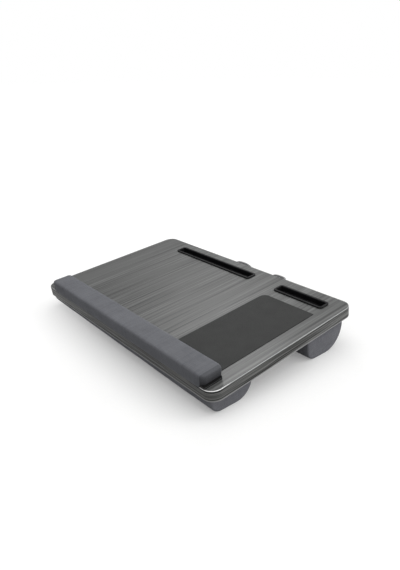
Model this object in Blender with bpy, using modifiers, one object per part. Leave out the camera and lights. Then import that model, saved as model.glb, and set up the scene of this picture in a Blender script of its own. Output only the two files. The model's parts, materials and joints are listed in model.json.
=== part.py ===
"""Lap desk: a hollow wood-grain board on two bolster cushions, with a padded wrist rest,
a mouse pad, a tablet slot, a phone slot and a swinging carry handle. Metres, +Z up.

The board is modelled flat, with the middle of its top face at the tilt empty. The empty then
leans it on its cushions, the rear one being the taller. Y runs from the user to the rear edge.
"""

import math

import bmesh
import bpy
from mathutils import Matrix

# Clearances and working values shared by every piece
GAP = 0.0003
OVERRUN = 0.010
WELD = 0.00002
CORNER_STEPS = 6
FINE_STEPS = 3
ACROSS = Matrix(((0, 0, 1, 0), (1, 0, 0, 0), (0, 1, 0, 0), (0, 0, 0, 1)))

# Board as a whole, and how it stands
BOARD_LENGTH = 0.600
BOARD_DEPTH = 0.360
BOARD_CORNER = 0.022
DESK_HEIGHT = 0.0690
TILT = math.radians(5.7)

# Layers of the board, from the top face down
TOP_THICK = 0.006
RAIL_HEIGHT = 0.0117
PANEL_THICK = 0.003
BAND_THICK = 0.002
BAND_TOP_ROUND = 0.0017
BAND_LOW_ROUND = 0.0008

# Frame rails and ribs inside the board
FRONT_RAIL_WIDTH = 0.024
REAR_RAIL_WIDTH = 0.018
SIDE_RAIL_WIDTH = 0.020
LONG_RIB_WIDTH = 0.010
LONG_RIB_TO_SLOTS = 0.00575
CROSS_RIB_WIDTH = 0.010

# Slot inserts: a raised rim, and a trough through the top board
TABLET_SLOT_END_INSET = 0.091
TABLET_SLOT_REAR_INSET = 0.0374
PHONE_SLOT_LENGTH = 0.1282
PHONE_SLOT_END_INSET = 0.036
PHONE_SLOT_REAR_INSET = 0.0409
SLOTS_APART = 0.0792
SLOT_RIM_WIDTH = 0.0278
SLOT_RIM_CORNER = 0.007
SLOT_RIM_HEIGHT = 0.0030
SLOT_RIM_ROUND = 0.0010
SLOT_FLANGE = 0.0022
SLOT_WALL = 0.0026
SLOT_FLOOR = 0.002
SLOT_DEPTH = 0.0165

# Mouse pad, let into the top board
PAD_LENGTH = 0.1328
PAD_END_INSET = 0.0345
PAD_REAR_INSET = 0.077
PAD_CORNER = 0.014
PAD_FRONT_CORNER = 0.002
PAD_THICK = 0.0011
PAD_RECESS = 0.0010
PAD_EDGE = 0.0003

# Wrist rest along the front edge
REST_LEFT_INSET = 0.040
REST_RIGHT_INSET = 0.019
REST_DEPTH = 0.0436
REST_HEIGHT = 0.0235
REST_FRONT_ROUND = 0.008
REST_REAR_ROUND = 0.0055
REST_END_ROUND = 0.0060
REST_CROWN = 0.0010
REST_COVER_THICK = 0.0014
REST_BASE_THICK = 0.0044
REST_SCREW_INSET = 0.026

# Bolster cushions under the board
CUSHION_END_INSET = 0.012
CUSHION_COVER_THICK = 0.0015
CUSHION_END_ROUND = 0.004
CUSHION_CROWN = 0.0012
FLOOR_CUT = 0.0005
BACKING_THICK = 0.005
FRONT_CUSHION_INSET = 0.0045
FRONT_CUSHION_DEPTH = 0.0925
FRONT_CUSHION_ROUND_SHARES = (0.91, 0.87)
REAR_CUSHION_INSET = 0.0170
REAR_CUSHION_DEPTH = 0.1060
REAR_CUSHION_ROUND_SHARES = (0.43, 0.81)

# Screws: shank and head radii, with the head's height
SCREW_RADIUS = 0.0017
SCREW_HEAD_RADIUS = 0.0034
SCREW_HEAD_HEIGHT = 0.0016
SCREW_TIP = 0.0012
SCREW_SIDES = 12
PANEL_SCREW_LENGTH = 0.011
REST_SCREW_GRIP = 0.0022
CUSHION_SCREW_TIP_SKIN = 0.001
CUSHION_SCREW_INSET = 0.074

# Carry handle: a bail turning in two ears on the rear edge
HANDLE_X = 0.029
HANDLE_SPAN = 0.161
HANDLE_RADIUS = 0.0025
HANDLE_AXIS_OUT = 0.0065
HANDLE_AXIS_DROP = 0.0125
HANDLE_REACH = 0.0125
HANDLE_RISE = 0.0014
HANDLE_SAG = 0.0068
HANDLE_SIDE_GAP = 0.0005
HANDLE_CORNER = 0.005
HANDLE_SHOULDER_SHARE = 0.58
HANDLE_GRIP_SHARE = 0.42
HANDLE_PIN_LENGTH = 0.006
HANDLE_RESOLUTION = 3
EAR_WIDTH = 0.009
EAR_NOSE = 0.0052
EAR_HEIGHT = 0.0125
EAR_SHELF_WIDTH = 0.0045
EAR_SHELF_THICK = 0.002
EAR_FLANGE_LENGTH = 0.012
EAR_FLANGE_THICK = 0.0025
EAR_PEG_RADIUS = 0.002
EAR_PEG_LENGTH = 0.007
EAR_PEG_DROP = 0.0023
EAR_SCREW_LENGTH = 0.010

# Which way a screw's head or a plate's upper face is turned
ORIGIN = (0.0, 0.0, 0.0)
FACING_UP = Matrix.Rotation(math.pi, 4, "X")
TOWARDS_REAR = Matrix.Rotation(-math.pi / 2, 4, "X")

# Places worked out from the sizes above
HALF_LENGTH = BOARD_LENGTH / 2
HALF_DEPTH = BOARD_DEPTH / 2
TOP_UNDER = -TOP_THICK
RAIL_TOP = TOP_UNDER - GAP
RAIL_UNDER = RAIL_TOP - RAIL_HEIGHT
PANEL_TOP = RAIL_UNDER - GAP
PANEL_UNDER = PANEL_TOP - PANEL_THICK
CUSHION_TOP = PANEL_UNDER - GAP
BACKING_UNDER = CUSHION_TOP - BACKING_THICK
CORE_INSET = BAND_THICK + GAP
CORE_HALF_LENGTH = HALF_LENGTH - CORE_INSET
CORE_HALF_DEPTH = HALF_DEPTH - CORE_INSET
CORE_CORNER = BOARD_CORNER - CORE_INSET
FRONT_RAIL_REAR = -CORE_HALF_DEPTH + FRONT_RAIL_WIDTH
REAR_RAIL_FRONT = CORE_HALF_DEPTH - REAR_RAIL_WIDTH
SIDE_RAIL_INNER = CORE_HALF_LENGTH - SIDE_RAIL_WIDTH
REST_REAR_Y = -HALF_DEPTH + REST_DEPTH
PAD_FRONT_Y = REST_REAR_Y + GAP
REST_LEFT = -HALF_LENGTH + REST_LEFT_INSET
REST_RIGHT = HALF_LENGTH - REST_RIGHT_INSET
REST_LENGTH = REST_RIGHT - REST_LEFT
REST_X = (REST_LEFT + REST_RIGHT) / 2
PHONE_SLOT_X = HALF_LENGTH - PHONE_SLOT_END_INSET - PHONE_SLOT_LENGTH / 2
PHONE_SLOT_Y = HALF_DEPTH - PHONE_SLOT_REAR_INSET
TABLET_SLOT_LEFT = -HALF_LENGTH + TABLET_SLOT_END_INSET
TABLET_SLOT_RIGHT = PHONE_SLOT_X - PHONE_SLOT_LENGTH / 2 - SLOTS_APART
TABLET_SLOT_LENGTH = TABLET_SLOT_RIGHT - TABLET_SLOT_LEFT
TABLET_SLOT_X = (TABLET_SLOT_LEFT + TABLET_SLOT_RIGHT) / 2
TABLET_SLOT_Y = HALF_DEPTH - TABLET_SLOT_REAR_INSET
SLOTS_FRONT_Y = min(TABLET_SLOT_Y, PHONE_SLOT_Y) - SLOT_RIM_WIDTH / 2
LONG_RIB_Y = SLOTS_FRONT_Y - LONG_RIB_TO_SLOTS - LONG_RIB_WIDTH / 2
CROSS_RIB_SPACING = SIDE_RAIL_INNER / 2
PAD_X = HALF_LENGTH - PAD_END_INSET - PAD_LENGTH / 2
PAD_REAR_Y = HALF_DEPTH - PAD_REAR_INSET
SCREW_HOLE_RADIUS = SCREW_RADIUS + GAP
HEAD_HOLE_RADIUS = SCREW_HEAD_RADIUS + GAP
CUSHION_HALF_LENGTH = HALF_LENGTH - CUSHION_END_INSET
FRONT_CUSHION_FRONT = -HALF_DEPTH + FRONT_CUSHION_INSET
FRONT_CUSHION_REAR = FRONT_CUSHION_FRONT + FRONT_CUSHION_DEPTH
REAR_CUSHION_REAR = HALF_DEPTH - REAR_CUSHION_INSET
REAR_CUSHION_FRONT = REAR_CUSHION_REAR - REAR_CUSHION_DEPTH
HANDLE_AXIS_Y = HALF_DEPTH + HANDLE_AXIS_OUT
HANDLE_AXIS_Z = -HANDLE_AXIS_DROP
EAR_TOP = HANDLE_AXIS_Z + EAR_NOSE
EAR_PEG_Z = HANDLE_AXIS_Z - EAR_PEG_DROP


def clear_scene():
    for found in list(bpy.data.objects):
        bpy.data.objects.remove(found, do_unlink=True)


def new_collection(name):
    made = bpy.data.collections.new(name)
    bpy.context.scene.collection.children.link(made)
    return made


def new_material(name, colour, roughness, metallic=0.0):
    made = bpy.data.materials.new(name)
    made.use_nodes = True
    shader = made.node_tree.nodes["Principled BSDF"]
    shader.inputs["Base Color"].default_value = (*colour, 1.0)
    shader.inputs["Roughness"].default_value = roughness
    shader.inputs["Metallic"].default_value = metallic
    return made


def add_part(name, mesh, finish):
    """A finished sub-part, leaning with the board."""
    made = bpy.data.objects.new(name, mesh)
    PARTS.objects.link(made)
    made.parent = TILT_EMPTY
    if not mesh.materials:
        mesh.materials.append(new_material(name, *finish))
    return made


def add_cutter(name, mesh, leans=True):
    made = bpy.data.objects.new(name, mesh)
    CUTTERS.objects.link(made)
    made.hide_render = True
    made.display_type = "WIRE"
    if leans:
        made.parent = TILT_EMPTY
    return made


def cut(part, cutter):
    step = part.modifiers.new("cut_" + cutter.name, "BOOLEAN")
    step.operation = "DIFFERENCE"
    step.solver = "EXACT"
    step.object = cutter
    return step


def mesh_from(work, name):
    """Turn a bmesh into a welded mesh with its faces pointing out."""
    bmesh.ops.remove_doubles(work, verts=work.verts, dist=WELD)
    bmesh.ops.recalc_face_normals(work, faces=work.faces)
    mesh = bpy.data.meshes.new(name)
    work.to_mesh(mesh)
    work.free()
    return mesh


def join_meshes(name, meshes):
    """Several separate bodies in one mesh."""
    work = bmesh.new()
    for mesh in meshes:
        work.from_mesh(mesh)
    bmesh.ops.recalc_face_normals(work, faces=work.faces)
    joined = bpy.data.meshes.new(name)
    work.to_mesh(joined)
    work.free()
    return joined


def rounded_rectangle(x_low, x_high, y_low, y_high, front_radius, rear_radius, steps=CORNER_STEPS):
    """Outline counter-clockwise from the front left; each corner is an arc."""
    corners = [
        (x_low + front_radius, y_low + front_radius, front_radius, math.pi),
        (x_high - front_radius, y_low + front_radius, front_radius, math.pi * 3 / 2),
        (x_high - rear_radius, y_high - rear_radius, rear_radius, 0.0),
        (x_low + rear_radius, y_high - rear_radius, rear_radius, math.pi / 2),
    ]
    outline = []
    for centre_x, centre_y, radius, start in corners:
        for step in range(steps + 1):
            angle = start + math.pi / 2 * step / steps
            outline.append((centre_x + radius * math.cos(angle), centre_y + radius * math.sin(angle)))
    return outline


def centred_rectangle(half_length, half_depth, radius, steps=CORNER_STEPS):
    return rounded_rectangle(-half_length, half_length, -half_depth, half_depth, radius, radius, steps)


def slab(name, outline, low, high, holes=()):
    """A flat piece from its outline: a filled 2D curve, extruded, then made a mesh."""
    curve = bpy.data.curves.new(name, "CURVE")
    curve.dimensions = "2D"
    curve.fill_mode = "BOTH"
    curve.extrude = (high - low) / 2
    for loop in (outline, *holes):
        spline = curve.splines.new("POLY")
        spline.points.add(len(loop) - 1)
        for point, (x, y) in zip(spline.points, loop):
            point.co = (x, y, 0.0, 1.0)
        spline.use_cyclic_u = True
    carrier = bpy.data.objects.new(name, curve)
    bpy.context.scene.collection.objects.link(carrier)
    mesh = evaluated_mesh(carrier)
    mesh.transform(Matrix.Translation((0.0, 0.0, (low + high) / 2)))
    work = bmesh.new()
    work.from_mesh(mesh)
    return mesh_from(work, name)


def evaluated_mesh(carrier):
    """The mesh that an object shows, after which the object goes."""
    bpy.context.view_layer.update()
    graph = bpy.context.evaluated_depsgraph_get()
    mesh = bpy.data.meshes.new_from_object(carrier.evaluated_get(graph))
    bpy.data.objects.remove(carrier, do_unlink=True)
    return mesh


def round_edges(mesh, width, steps, wanted):
    """Round the sharp edges of a mesh for which wanted(start, end) holds."""
    work = bmesh.new()
    work.from_mesh(mesh)
    chosen = [
        edge for edge in work.edges
        if edge.is_manifold
        and edge.calc_face_angle() > math.radians(40)
        and wanted(edge.verts[0].co, edge.verts[1].co)
    ]
    bmesh.ops.bevel(work, geom=chosen, offset=width, segments=steps, profile=0.5, affect="EDGES")
    work.to_mesh(mesh)
    work.free()
    return mesh


def at_height(height):
    return lambda start, end: abs(start.z - height) < GAP / 2 and abs(end.z - height) < GAP / 2


def turned(name, profile, sides=SCREW_SIDES):
    """A solid of revolution about Z; the profile runs down its outer side, at +X."""
    outline = bpy.data.meshes.new(name)
    links = [(index, index + 1) for index in range(len(profile) - 1)]
    outline.from_pydata([(radius, 0.0, height) for radius, height in profile], links, [])
    carrier = bpy.data.objects.new(name, outline)
    bpy.context.scene.collection.objects.link(carrier)
    spin = carrier.modifiers.new("turn", "SCREW")
    spin.axis = "Z"
    spin.steps = sides
    spin.render_steps = sides
    spin.use_merge_vertices = True
    spin.merge_threshold = WELD
    work = bmesh.new()
    work.from_mesh(evaluated_mesh(carrier))
    return mesh_from(work, name)


def moved(mesh, place, turn=None):
    copy = mesh.copy()
    shift = Matrix.Translation(place)
    copy.transform(shift @ turn if turn else shift)
    return copy


def screw_mesh(length):
    """A pan-head screw that points down from the underside of its head at z = 0."""
    return turned("screw", [
        (0.0, SCREW_HEAD_HEIGHT),
        (SCREW_HEAD_RADIUS * 0.6, SCREW_HEAD_HEIGHT),
        (SCREW_HEAD_RADIUS, SCREW_HEAD_HEIGHT / 2),
        (SCREW_HEAD_RADIUS, 0.0),
        (SCREW_RADIUS, 0.0),
        (SCREW_RADIUS, SCREW_TIP - length),
        (0.0, -length),
    ])


def add_screws(name, mesh, places):
    """One object for each screw, all of them sharing a mesh."""
    for index, place in enumerate(places, start=1):
        add_part(f"{name}_{index}", mesh, STEEL).location = place


def hole_mesh(radius, low, high):
    return turned("hole", [(0.0, high), (radius, high), (radius, low), (0.0, low)])


def across(mesh, low=0.0):
    """Turn a slab drawn in (y, z) so that its thickness runs along X, from low."""
    mesh.transform(Matrix.Translation((low, 0.0, 0.0)) @ ACROSS)
    return mesh


def floor_below(y):
    """Height of the floor under a point of the board, in the board's own frame."""
    return -DESK_HEIGHT / math.cos(TILT) - y * math.tan(TILT)


def padded_section(front, rear, base, face, radii, crown, slope, inset):
    """Outline (y, z) of a pad: flat at base, rounded where its sides meet the crowned face.

    The face lies below the base, along the line face + slope * (y - front).
    """
    tilt = math.atan(slope)
    front_radius, rear_radius = (max(radius - inset, WELD * 10) for radius in radii)
    outline = [(front + inset, base)]

    def corner(centre_y, radius, start, end):
        centre_z = face + slope * (centre_y - front) + (radius + inset) / math.cos(tilt)
        for step in range(CORNER_STEPS + 1):
            angle = start + (end - start) * step / CORNER_STEPS
            outline.append((centre_y + radius * math.cos(angle), centre_z + radius * math.sin(angle)))

    down = math.pi * 3 / 2 + tilt
    corner(front + inset + front_radius, front_radius, math.pi, down)
    start_y, start_z = outline[-1]
    end_y = rear - inset - rear_radius + rear_radius * math.cos(down)
    for step in range(1, CORNER_STEPS):
        along = step / CORNER_STEPS
        y = start_y + (end_y - start_y) * along
        outline.append((y, start_z + slope * (y - start_y) - crown * 4 * along * (1 - along)))
    corner(rear - inset - rear_radius, rear_radius, down, math.tau)
    outline.append((rear - inset, base))
    return outline


def bolster(name, half_length, outline, end_round, middle=0.0):
    """A pad along X with this outline (y, z), its two ends rounded except at its base."""
    mesh = across(slab(name, outline, -half_length, half_length))
    base = outline[0][1]

    def end_edge(start, end):
        at_base = at_height(base)(start, end)
        return start.x * end.x > (half_length - GAP) ** 2 and not at_base

    return moved(round_edges(mesh, end_round, FINE_STEPS, end_edge), (middle, 0.0, 0.0))


# Finishes: colour, roughness and, for metal, the metallic value
WOOD_GRAIN = ((0.150, 0.150, 0.147), 0.38)
BAND_GRAIN = ((0.115, 0.115, 0.112), 0.40)
BARE_WOOD = ((0.52, 0.40, 0.27), 0.75)
PANEL_FINISH = ((0.085, 0.086, 0.088), 0.60)
PAD_LEATHER = ((0.055, 0.056, 0.056), 0.62)
REST_FABRIC = ((0.150, 0.155, 0.168), 0.85)
CUSHION_FABRIC = ((0.120, 0.122, 0.135), 0.92)
FOAM = ((0.62, 0.60, 0.55), 0.95)
SLOT_PLASTIC = ((0.018, 0.018, 0.020), 0.42)
HANDLE_PLASTIC = ((0.150, 0.150, 0.155), 0.55)
STEEL = ((0.56, 0.56, 0.57), 0.35, 1.0)


def slot_bounds(centre_x, centre_y, length, inset=0.0):
    return (
        centre_x - length / 2 + inset, centre_x + length / 2 - inset,
        centre_y - SLOT_RIM_WIDTH / 2 + inset, centre_y + SLOT_RIM_WIDTH / 2 - inset,
    )


SLOTS = {
    "tablet_slot_insert": (TABLET_SLOT_X, TABLET_SLOT_Y, TABLET_SLOT_LENGTH),
    "phone_slot_insert": (PHONE_SLOT_X, PHONE_SLOT_Y, PHONE_SLOT_LENGTH),
}

REST_SCREW_X = REST_LENGTH / 2 - REST_SCREW_INSET
REST_SCREW_Y = -CORE_HALF_DEPTH + FRONT_RAIL_WIDTH / 2
REST_SCREW_PLACES = [(REST_X + x, REST_SCREW_Y) for x in (
    -REST_SCREW_X, -REST_SCREW_X / 3, REST_SCREW_X / 3, REST_SCREW_X)]
CROSS_RIB_PLACES = {
    "cross_rib_left": -CROSS_RIB_SPACING,
    "cross_rib_middle": 0.0,
    "cross_rib_right": CROSS_RIB_SPACING,
}
CUSHION_GAP_MIDDLE = (FRONT_CUSHION_REAR + REAR_CUSHION_FRONT) / 2
SIDE_SCREW_X = CORE_HALF_LENGTH - SIDE_RAIL_WIDTH / 2
REAR_SCREW_Y = (REAR_CUSHION_REAR + CORE_HALF_DEPTH) / 2
PANEL_SCREW_PLACES = [
    (x, CUSHION_GAP_MIDDLE) for x in (-SIDE_SCREW_X, *CROSS_RIB_PLACES.values(), SIDE_SCREW_X)
] + [(x, REAR_SCREW_Y) for x in (-SIDE_SCREW_X, 0.0, SIDE_SCREW_X)]
CUSHION_SCREW_X = CUSHION_HALF_LENGTH - CUSHION_SCREW_INSET
CUSHION_SCREW_ROWS = [
    (FRONT_CUSHION_FRONT + FRONT_CUSHION_REAR) / 2,
    (REAR_CUSHION_FRONT + REAR_CUSHION_REAR) / 2,
]
CUSHION_SCREW_PLACES = [
    (x, row) for row in CUSHION_SCREW_ROWS for x in (-CUSHION_SCREW_X, 0.0, CUSHION_SCREW_X)
]


def holes_cutter(name, places, radius, low, high):
    post = hole_mesh(radius, low, high)
    return add_cutter(name, join_meshes(name, [moved(post, (x, y, 0.0)) for x, y in places]))


def make_top_board():
    """Laminated top, with the slots through it and a recess for the mouse pad."""
    trough_inset = SLOT_FLANGE - GAP
    trough_corner = SLOT_RIM_CORNER - trough_inset
    openings = []
    for centre_x, centre_y, length in SLOTS.values():
        bounds = slot_bounds(centre_x, centre_y, length, trough_inset)
        openings.append(rounded_rectangle(*bounds, trough_corner, trough_corner, FINE_STEPS))
    outline = centred_rectangle(CORE_HALF_LENGTH, CORE_HALF_DEPTH, CORE_CORNER)
    board = add_part("top_board", slab("top_board", outline, TOP_UNDER, 0.0, openings), WOOD_GRAIN)
    recess = rounded_rectangle(
        PAD_X - PAD_LENGTH / 2 - GAP, PAD_X + PAD_LENGTH / 2 + GAP,
        PAD_FRONT_Y - GAP, PAD_REAR_Y + GAP, PAD_FRONT_CORNER + GAP, PAD_CORNER + GAP,
    )
    cut(board, add_cutter("pad_recess", slab("pad_recess", recess, -PAD_RECESS, OVERRUN)))
    cut(board, REST_PILOTS)


def make_edge_band():
    """Thick edge banding around the board, its top edge rounded over."""
    outer = centred_rectangle(HALF_LENGTH, HALF_DEPTH, BOARD_CORNER)
    inner_corner = BOARD_CORNER - BAND_THICK
    inner = centred_rectangle(HALF_LENGTH - BAND_THICK, HALF_DEPTH - BAND_THICK, inner_corner)
    mesh = slab("edge_band", outer, PANEL_UNDER, 0.0, [inner])

    def on_outside(point):
        return abs(point.x) > HALF_LENGTH - BAND_THICK / 2 or abs(point.y) > HALF_DEPTH - BAND_THICK / 2 \
            or math.hypot(
                max(abs(point.x) - HALF_LENGTH + BOARD_CORNER, 0.0),
                max(abs(point.y) - HALF_DEPTH + BOARD_CORNER, 0.0),
            ) > BOARD_CORNER - BAND_THICK / 2

    def outer_edge(height):
        level = at_height(height)
        return lambda start, end: level(start, end) and on_outside(start) and on_outside(end)

    round_edges(mesh, BAND_TOP_ROUND, 3, outer_edge(0.0))
    round_edges(mesh, BAND_LOW_ROUND, 1, outer_edge(PANEL_UNDER))
    band = add_part("edge_band", mesh, BAND_GRAIN)
    pegs = [ear_cutter("ear_holes_" + name, side) for name, side in EARS.items()]
    for peg in pegs:
        cut(band, peg)
    return pegs


def make_rails(ear_cutters):
    """Perimeter rails: front and rear run full length, the side rails fit between them."""
    front_outline = rounded_rectangle(
        -CORE_HALF_LENGTH, CORE_HALF_LENGTH, -CORE_HALF_DEPTH, FRONT_RAIL_REAR, CORE_CORNER, GAP)
    front = add_part("front_rail", slab("front_rail", front_outline, RAIL_UNDER, RAIL_TOP), BARE_WOOD)
    cut(front, REST_PILOTS)
    cut(front, holes_cutter("rest_head_holes", REST_SCREW_PLACES, HEAD_HOLE_RADIUS,
                            RAIL_UNDER - OVERRUN, RAIL_UNDER + SCREW_HEAD_HEIGHT + GAP * 2))
    rear_corner = min(CORE_CORNER, REAR_RAIL_WIDTH - GAP * 2)
    rear_outline = rounded_rectangle(
        -CORE_HALF_LENGTH, CORE_HALF_LENGTH, REAR_RAIL_FRONT, CORE_HALF_DEPTH, GAP, rear_corner)
    rear = add_part("rear_rail", slab("rear_rail", rear_outline, RAIL_UNDER, RAIL_TOP), BARE_WOOD)
    # The rail is trimmed to the core's own larger corner where its width allows no full arc
    trim = slab("rear_trim", centred_rectangle(HALF_LENGTH + OVERRUN, HALF_DEPTH + OVERRUN, BOARD_CORNER),
                RAIL_UNDER - OVERRUN, RAIL_TOP + OVERRUN,
                [centred_rectangle(CORE_HALF_LENGTH, CORE_HALF_DEPTH, CORE_CORNER)])
    cut(rear, add_cutter("rear_trim", trim))
    for ear in ear_cutters:
        cut(rear, ear)
    sides = {}
    for name, side in (("left_rail", -1), ("right_rail", 1)):
        edges = sorted((side * SIDE_RAIL_INNER, side * CORE_HALF_LENGTH))
        outline = rounded_rectangle(
            *edges, FRONT_RAIL_REAR + GAP, REAR_RAIL_FRONT - GAP, GAP, GAP, 1)
        sides[name] = add_part(name, slab(name, outline, RAIL_UNDER, RAIL_TOP), BARE_WOOD)
    return [front, rear, *sides.values()]


def make_ribs():
    """One long rib in front of the slots, and three cross ribs from it to the front rail."""
    low, high = LONG_RIB_Y - LONG_RIB_WIDTH / 2, LONG_RIB_Y + LONG_RIB_WIDTH / 2
    inner = SIDE_RAIL_INNER - GAP
    outline = rounded_rectangle(-inner, inner, low, high, GAP, GAP, 1)
    ribs = [add_part("long_rib", slab("long_rib", outline, RAIL_UNDER, RAIL_TOP), BARE_WOOD)]
    for name, x in CROSS_RIB_PLACES.items():
        outline = rounded_rectangle(
            x - CROSS_RIB_WIDTH / 2, x + CROSS_RIB_WIDTH / 2,
            FRONT_RAIL_REAR + GAP, low - GAP, GAP, GAP, 1)
        ribs.append(add_part(name, slab(name, outline, RAIL_UNDER, RAIL_TOP), BARE_WOOD))
    return ribs


def make_bottom_panel():
    """Thin panel that closes the board and carries the cushions."""
    outline = centred_rectangle(CORE_HALF_LENGTH, CORE_HALF_DEPTH, CORE_CORNER)
    panel = add_part("bottom_panel", slab("bottom_panel", outline, PANEL_UNDER, PANEL_TOP), PANEL_FINISH)
    cut(panel, CUSHION_PILOTS)
    cut(panel, PANEL_PILOTS)
    cut(panel, holes_cutter("cushion_head_holes", CUSHION_SCREW_PLACES, HEAD_HOLE_RADIUS,
                            PANEL_TOP - SCREW_HEAD_HEIGHT - GAP, PANEL_TOP + OVERRUN))


def make_panel_screws(wooden_parts):
    """Screws up through the bottom panel into the rails and cross ribs."""
    seat = PANEL_UNDER - GAP
    screw = moved(screw_mesh(PANEL_SCREW_LENGTH), ORIGIN, FACING_UP)
    add_screws("panel_screw", screw, [(x, y, seat) for x, y in PANEL_SCREW_PLACES])
    for part in wooden_parts:
        cut(part, PANEL_PILOTS)


def make_slot_insert(name, centre_x, centre_y, length):
    """Moulded trough with a rim that stands on the board around the slot."""
    rim = rounded_rectangle(
        *slot_bounds(centre_x, centre_y, length), SLOT_RIM_CORNER, SLOT_RIM_CORNER)
    mesh = slab(name, rim, GAP, SLOT_RIM_HEIGHT)
    round_edges(mesh, SLOT_RIM_ROUND, 2, at_height(SLOT_RIM_HEIGHT))
    insert = add_part(name, mesh, SLOT_PLASTIC)
    corner = SLOT_RIM_CORNER - SLOT_FLANGE
    trough = rounded_rectangle(
        *slot_bounds(centre_x, centre_y, length, SLOT_FLANGE), corner, corner, FINE_STEPS)
    body = add_cutter(name + "_trough", slab(name + "_trough", trough, -SLOT_DEPTH, SLOT_RIM_HEIGHT / 2))
    fuse = insert.modifiers.new("trough", "BOOLEAN")
    fuse.operation = "UNION"
    fuse.solver = "EXACT"
    fuse.object = body
    inset = SLOT_FLANGE + SLOT_WALL
    corner = max(SLOT_RIM_CORNER - inset, SLOT_WALL / 2)
    hollow = rounded_rectangle(
        *slot_bounds(centre_x, centre_y, length, inset), corner, corner, FINE_STEPS)
    cut(insert, add_cutter(name + "_hollow", slab(
        name + "_hollow", hollow, -SLOT_DEPTH + SLOT_FLOOR, OVERRUN)))


def make_mouse_pad():
    outline = rounded_rectangle(
        PAD_X - PAD_LENGTH / 2, PAD_X + PAD_LENGTH / 2, PAD_FRONT_Y, PAD_REAR_Y,
        PAD_FRONT_CORNER, PAD_CORNER)
    low = GAP - PAD_RECESS
    mesh = slab("mouse_pad", outline, low, low + PAD_THICK)
    add_part("mouse_pad", round_edges(mesh, PAD_EDGE, 1, at_height(low + PAD_THICK)), PAD_LEATHER)


def rest_section(inset, base):
    """Section of the wrist rest: a pad's section turned over, its face up."""
    section = padded_section(
        -HALF_DEPTH, REST_REAR_Y, -base, REST_CROWN - REST_HEIGHT, (REST_FRONT_ROUND, REST_REAR_ROUND),
        REST_CROWN, 0.0, inset)
    return [(y, -z) for y, z in section]


def make_wrist_rest():
    """Cover over foam, its hem around a base plate that screws hold to the board."""
    half = REST_LENGTH / 2
    inner_round = REST_END_ROUND - REST_COVER_THICK
    cover = add_part("wrist_rest_cover", bolster(
        "wrist_rest_cover", half, rest_section(0.0, GAP), REST_END_ROUND, REST_X), REST_FABRIC)
    cut(cover, add_cutter("rest_hollow", bolster(
        "rest_hollow", half - REST_COVER_THICK, rest_section(REST_COVER_THICK, -OVERRUN), inner_round,
        REST_X)))
    base_inset = REST_COVER_THICK + GAP
    base_top = GAP + REST_BASE_THICK
    corner = REST_END_ROUND
    outline = rounded_rectangle(
        REST_LEFT + base_inset, REST_RIGHT - base_inset, base_inset - HALF_DEPTH, REST_REAR_Y - base_inset,
        corner, corner, FINE_STEPS)
    base = add_part(
        "wrist_rest_base", slab("wrist_rest_base", outline, GAP, base_top), PANEL_FINISH)
    cut(base, REST_PILOTS)
    add_part("wrist_rest_foam", bolster(
        "wrist_rest_foam", half - base_inset, rest_section(base_inset, base_top + GAP), inner_round,
        REST_X), FOAM)
    head_under = RAIL_UNDER + SCREW_HEAD_HEIGHT + GAP
    screw = screw_mesh(REST_SCREW_GRIP + GAP - head_under)
    add_screws("wrist_rest_screw", moved(screw, ORIGIN, FACING_UP), [
        (x, y, head_under) for x, y in REST_SCREW_PLACES])


def make_cushion(name, front, rear, round_shares):
    """Bolster: a sewn cover around foam, closed by the backing board that carries it.

    Its lower edges are rounded by shares of the height of its front and rear sides.
    """
    radii = [share * (BACKING_UNDER - floor_below(y)) for share, y in zip(round_shares, (front, rear))]
    slope = -math.tan(TILT)
    face = floor_below(front) + (CUSHION_CROWN - FLOOR_CUT) / math.cos(TILT)

    def section(inset, base):
        return padded_section(front, rear, base, face, radii, CUSHION_CROWN, slope, inset)

    wall = CUSHION_COVER_THICK
    inner_round = CUSHION_END_ROUND - wall
    cover = add_part(name + "_cover", bolster(
        name + "_cover", CUSHION_HALF_LENGTH, section(0.0, CUSHION_TOP), CUSHION_END_ROUND), CUSHION_FABRIC)
    cut(cover, add_cutter(name + "_hollow", bolster(
        name + "_hollow", CUSHION_HALF_LENGTH - wall, section(wall, CUSHION_TOP + OVERRUN), inner_round)))
    cut(cover, FLOOR)
    snug = wall + GAP
    add_part(name + "_foam", bolster(
        name + "_foam", CUSHION_HALF_LENGTH - snug, section(snug, BACKING_UNDER - GAP), inner_round), FOAM)
    outline = rounded_rectangle(
        snug - CUSHION_HALF_LENGTH, CUSHION_HALF_LENGTH - snug, front + snug, rear - snug,
        CUSHION_END_ROUND, CUSHION_END_ROUND, FINE_STEPS)
    backing = add_part(
        name + "_backing", slab(name + "_backing", outline, BACKING_UNDER, CUSHION_TOP), BARE_WOOD)
    cut(backing, CUSHION_PILOTS)


def make_cushion_screws():
    """Screws down through the bottom panel into the backing boards, heads let in flush."""
    seat = PANEL_TOP - SCREW_HEAD_HEIGHT
    screw = screw_mesh(seat - BACKING_UNDER - CUSHION_SCREW_TIP_SKIN - GAP)
    add_screws("cushion_screw", screw, [(x, y, seat) for x, y in CUSHION_SCREW_PLACES])


EARS = {"left": -1, "right": 1}
EAR_SCREW_OUT = EAR_WIDTH + EAR_FLANGE_LENGTH / 2
EAR_SCREW_Z = HANDLE_AXIS_Z - EAR_PEG_DROP / 2


def ear_inner_x(side):
    return HANDLE_X + side * (HANDLE_SPAN / 2)


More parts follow.
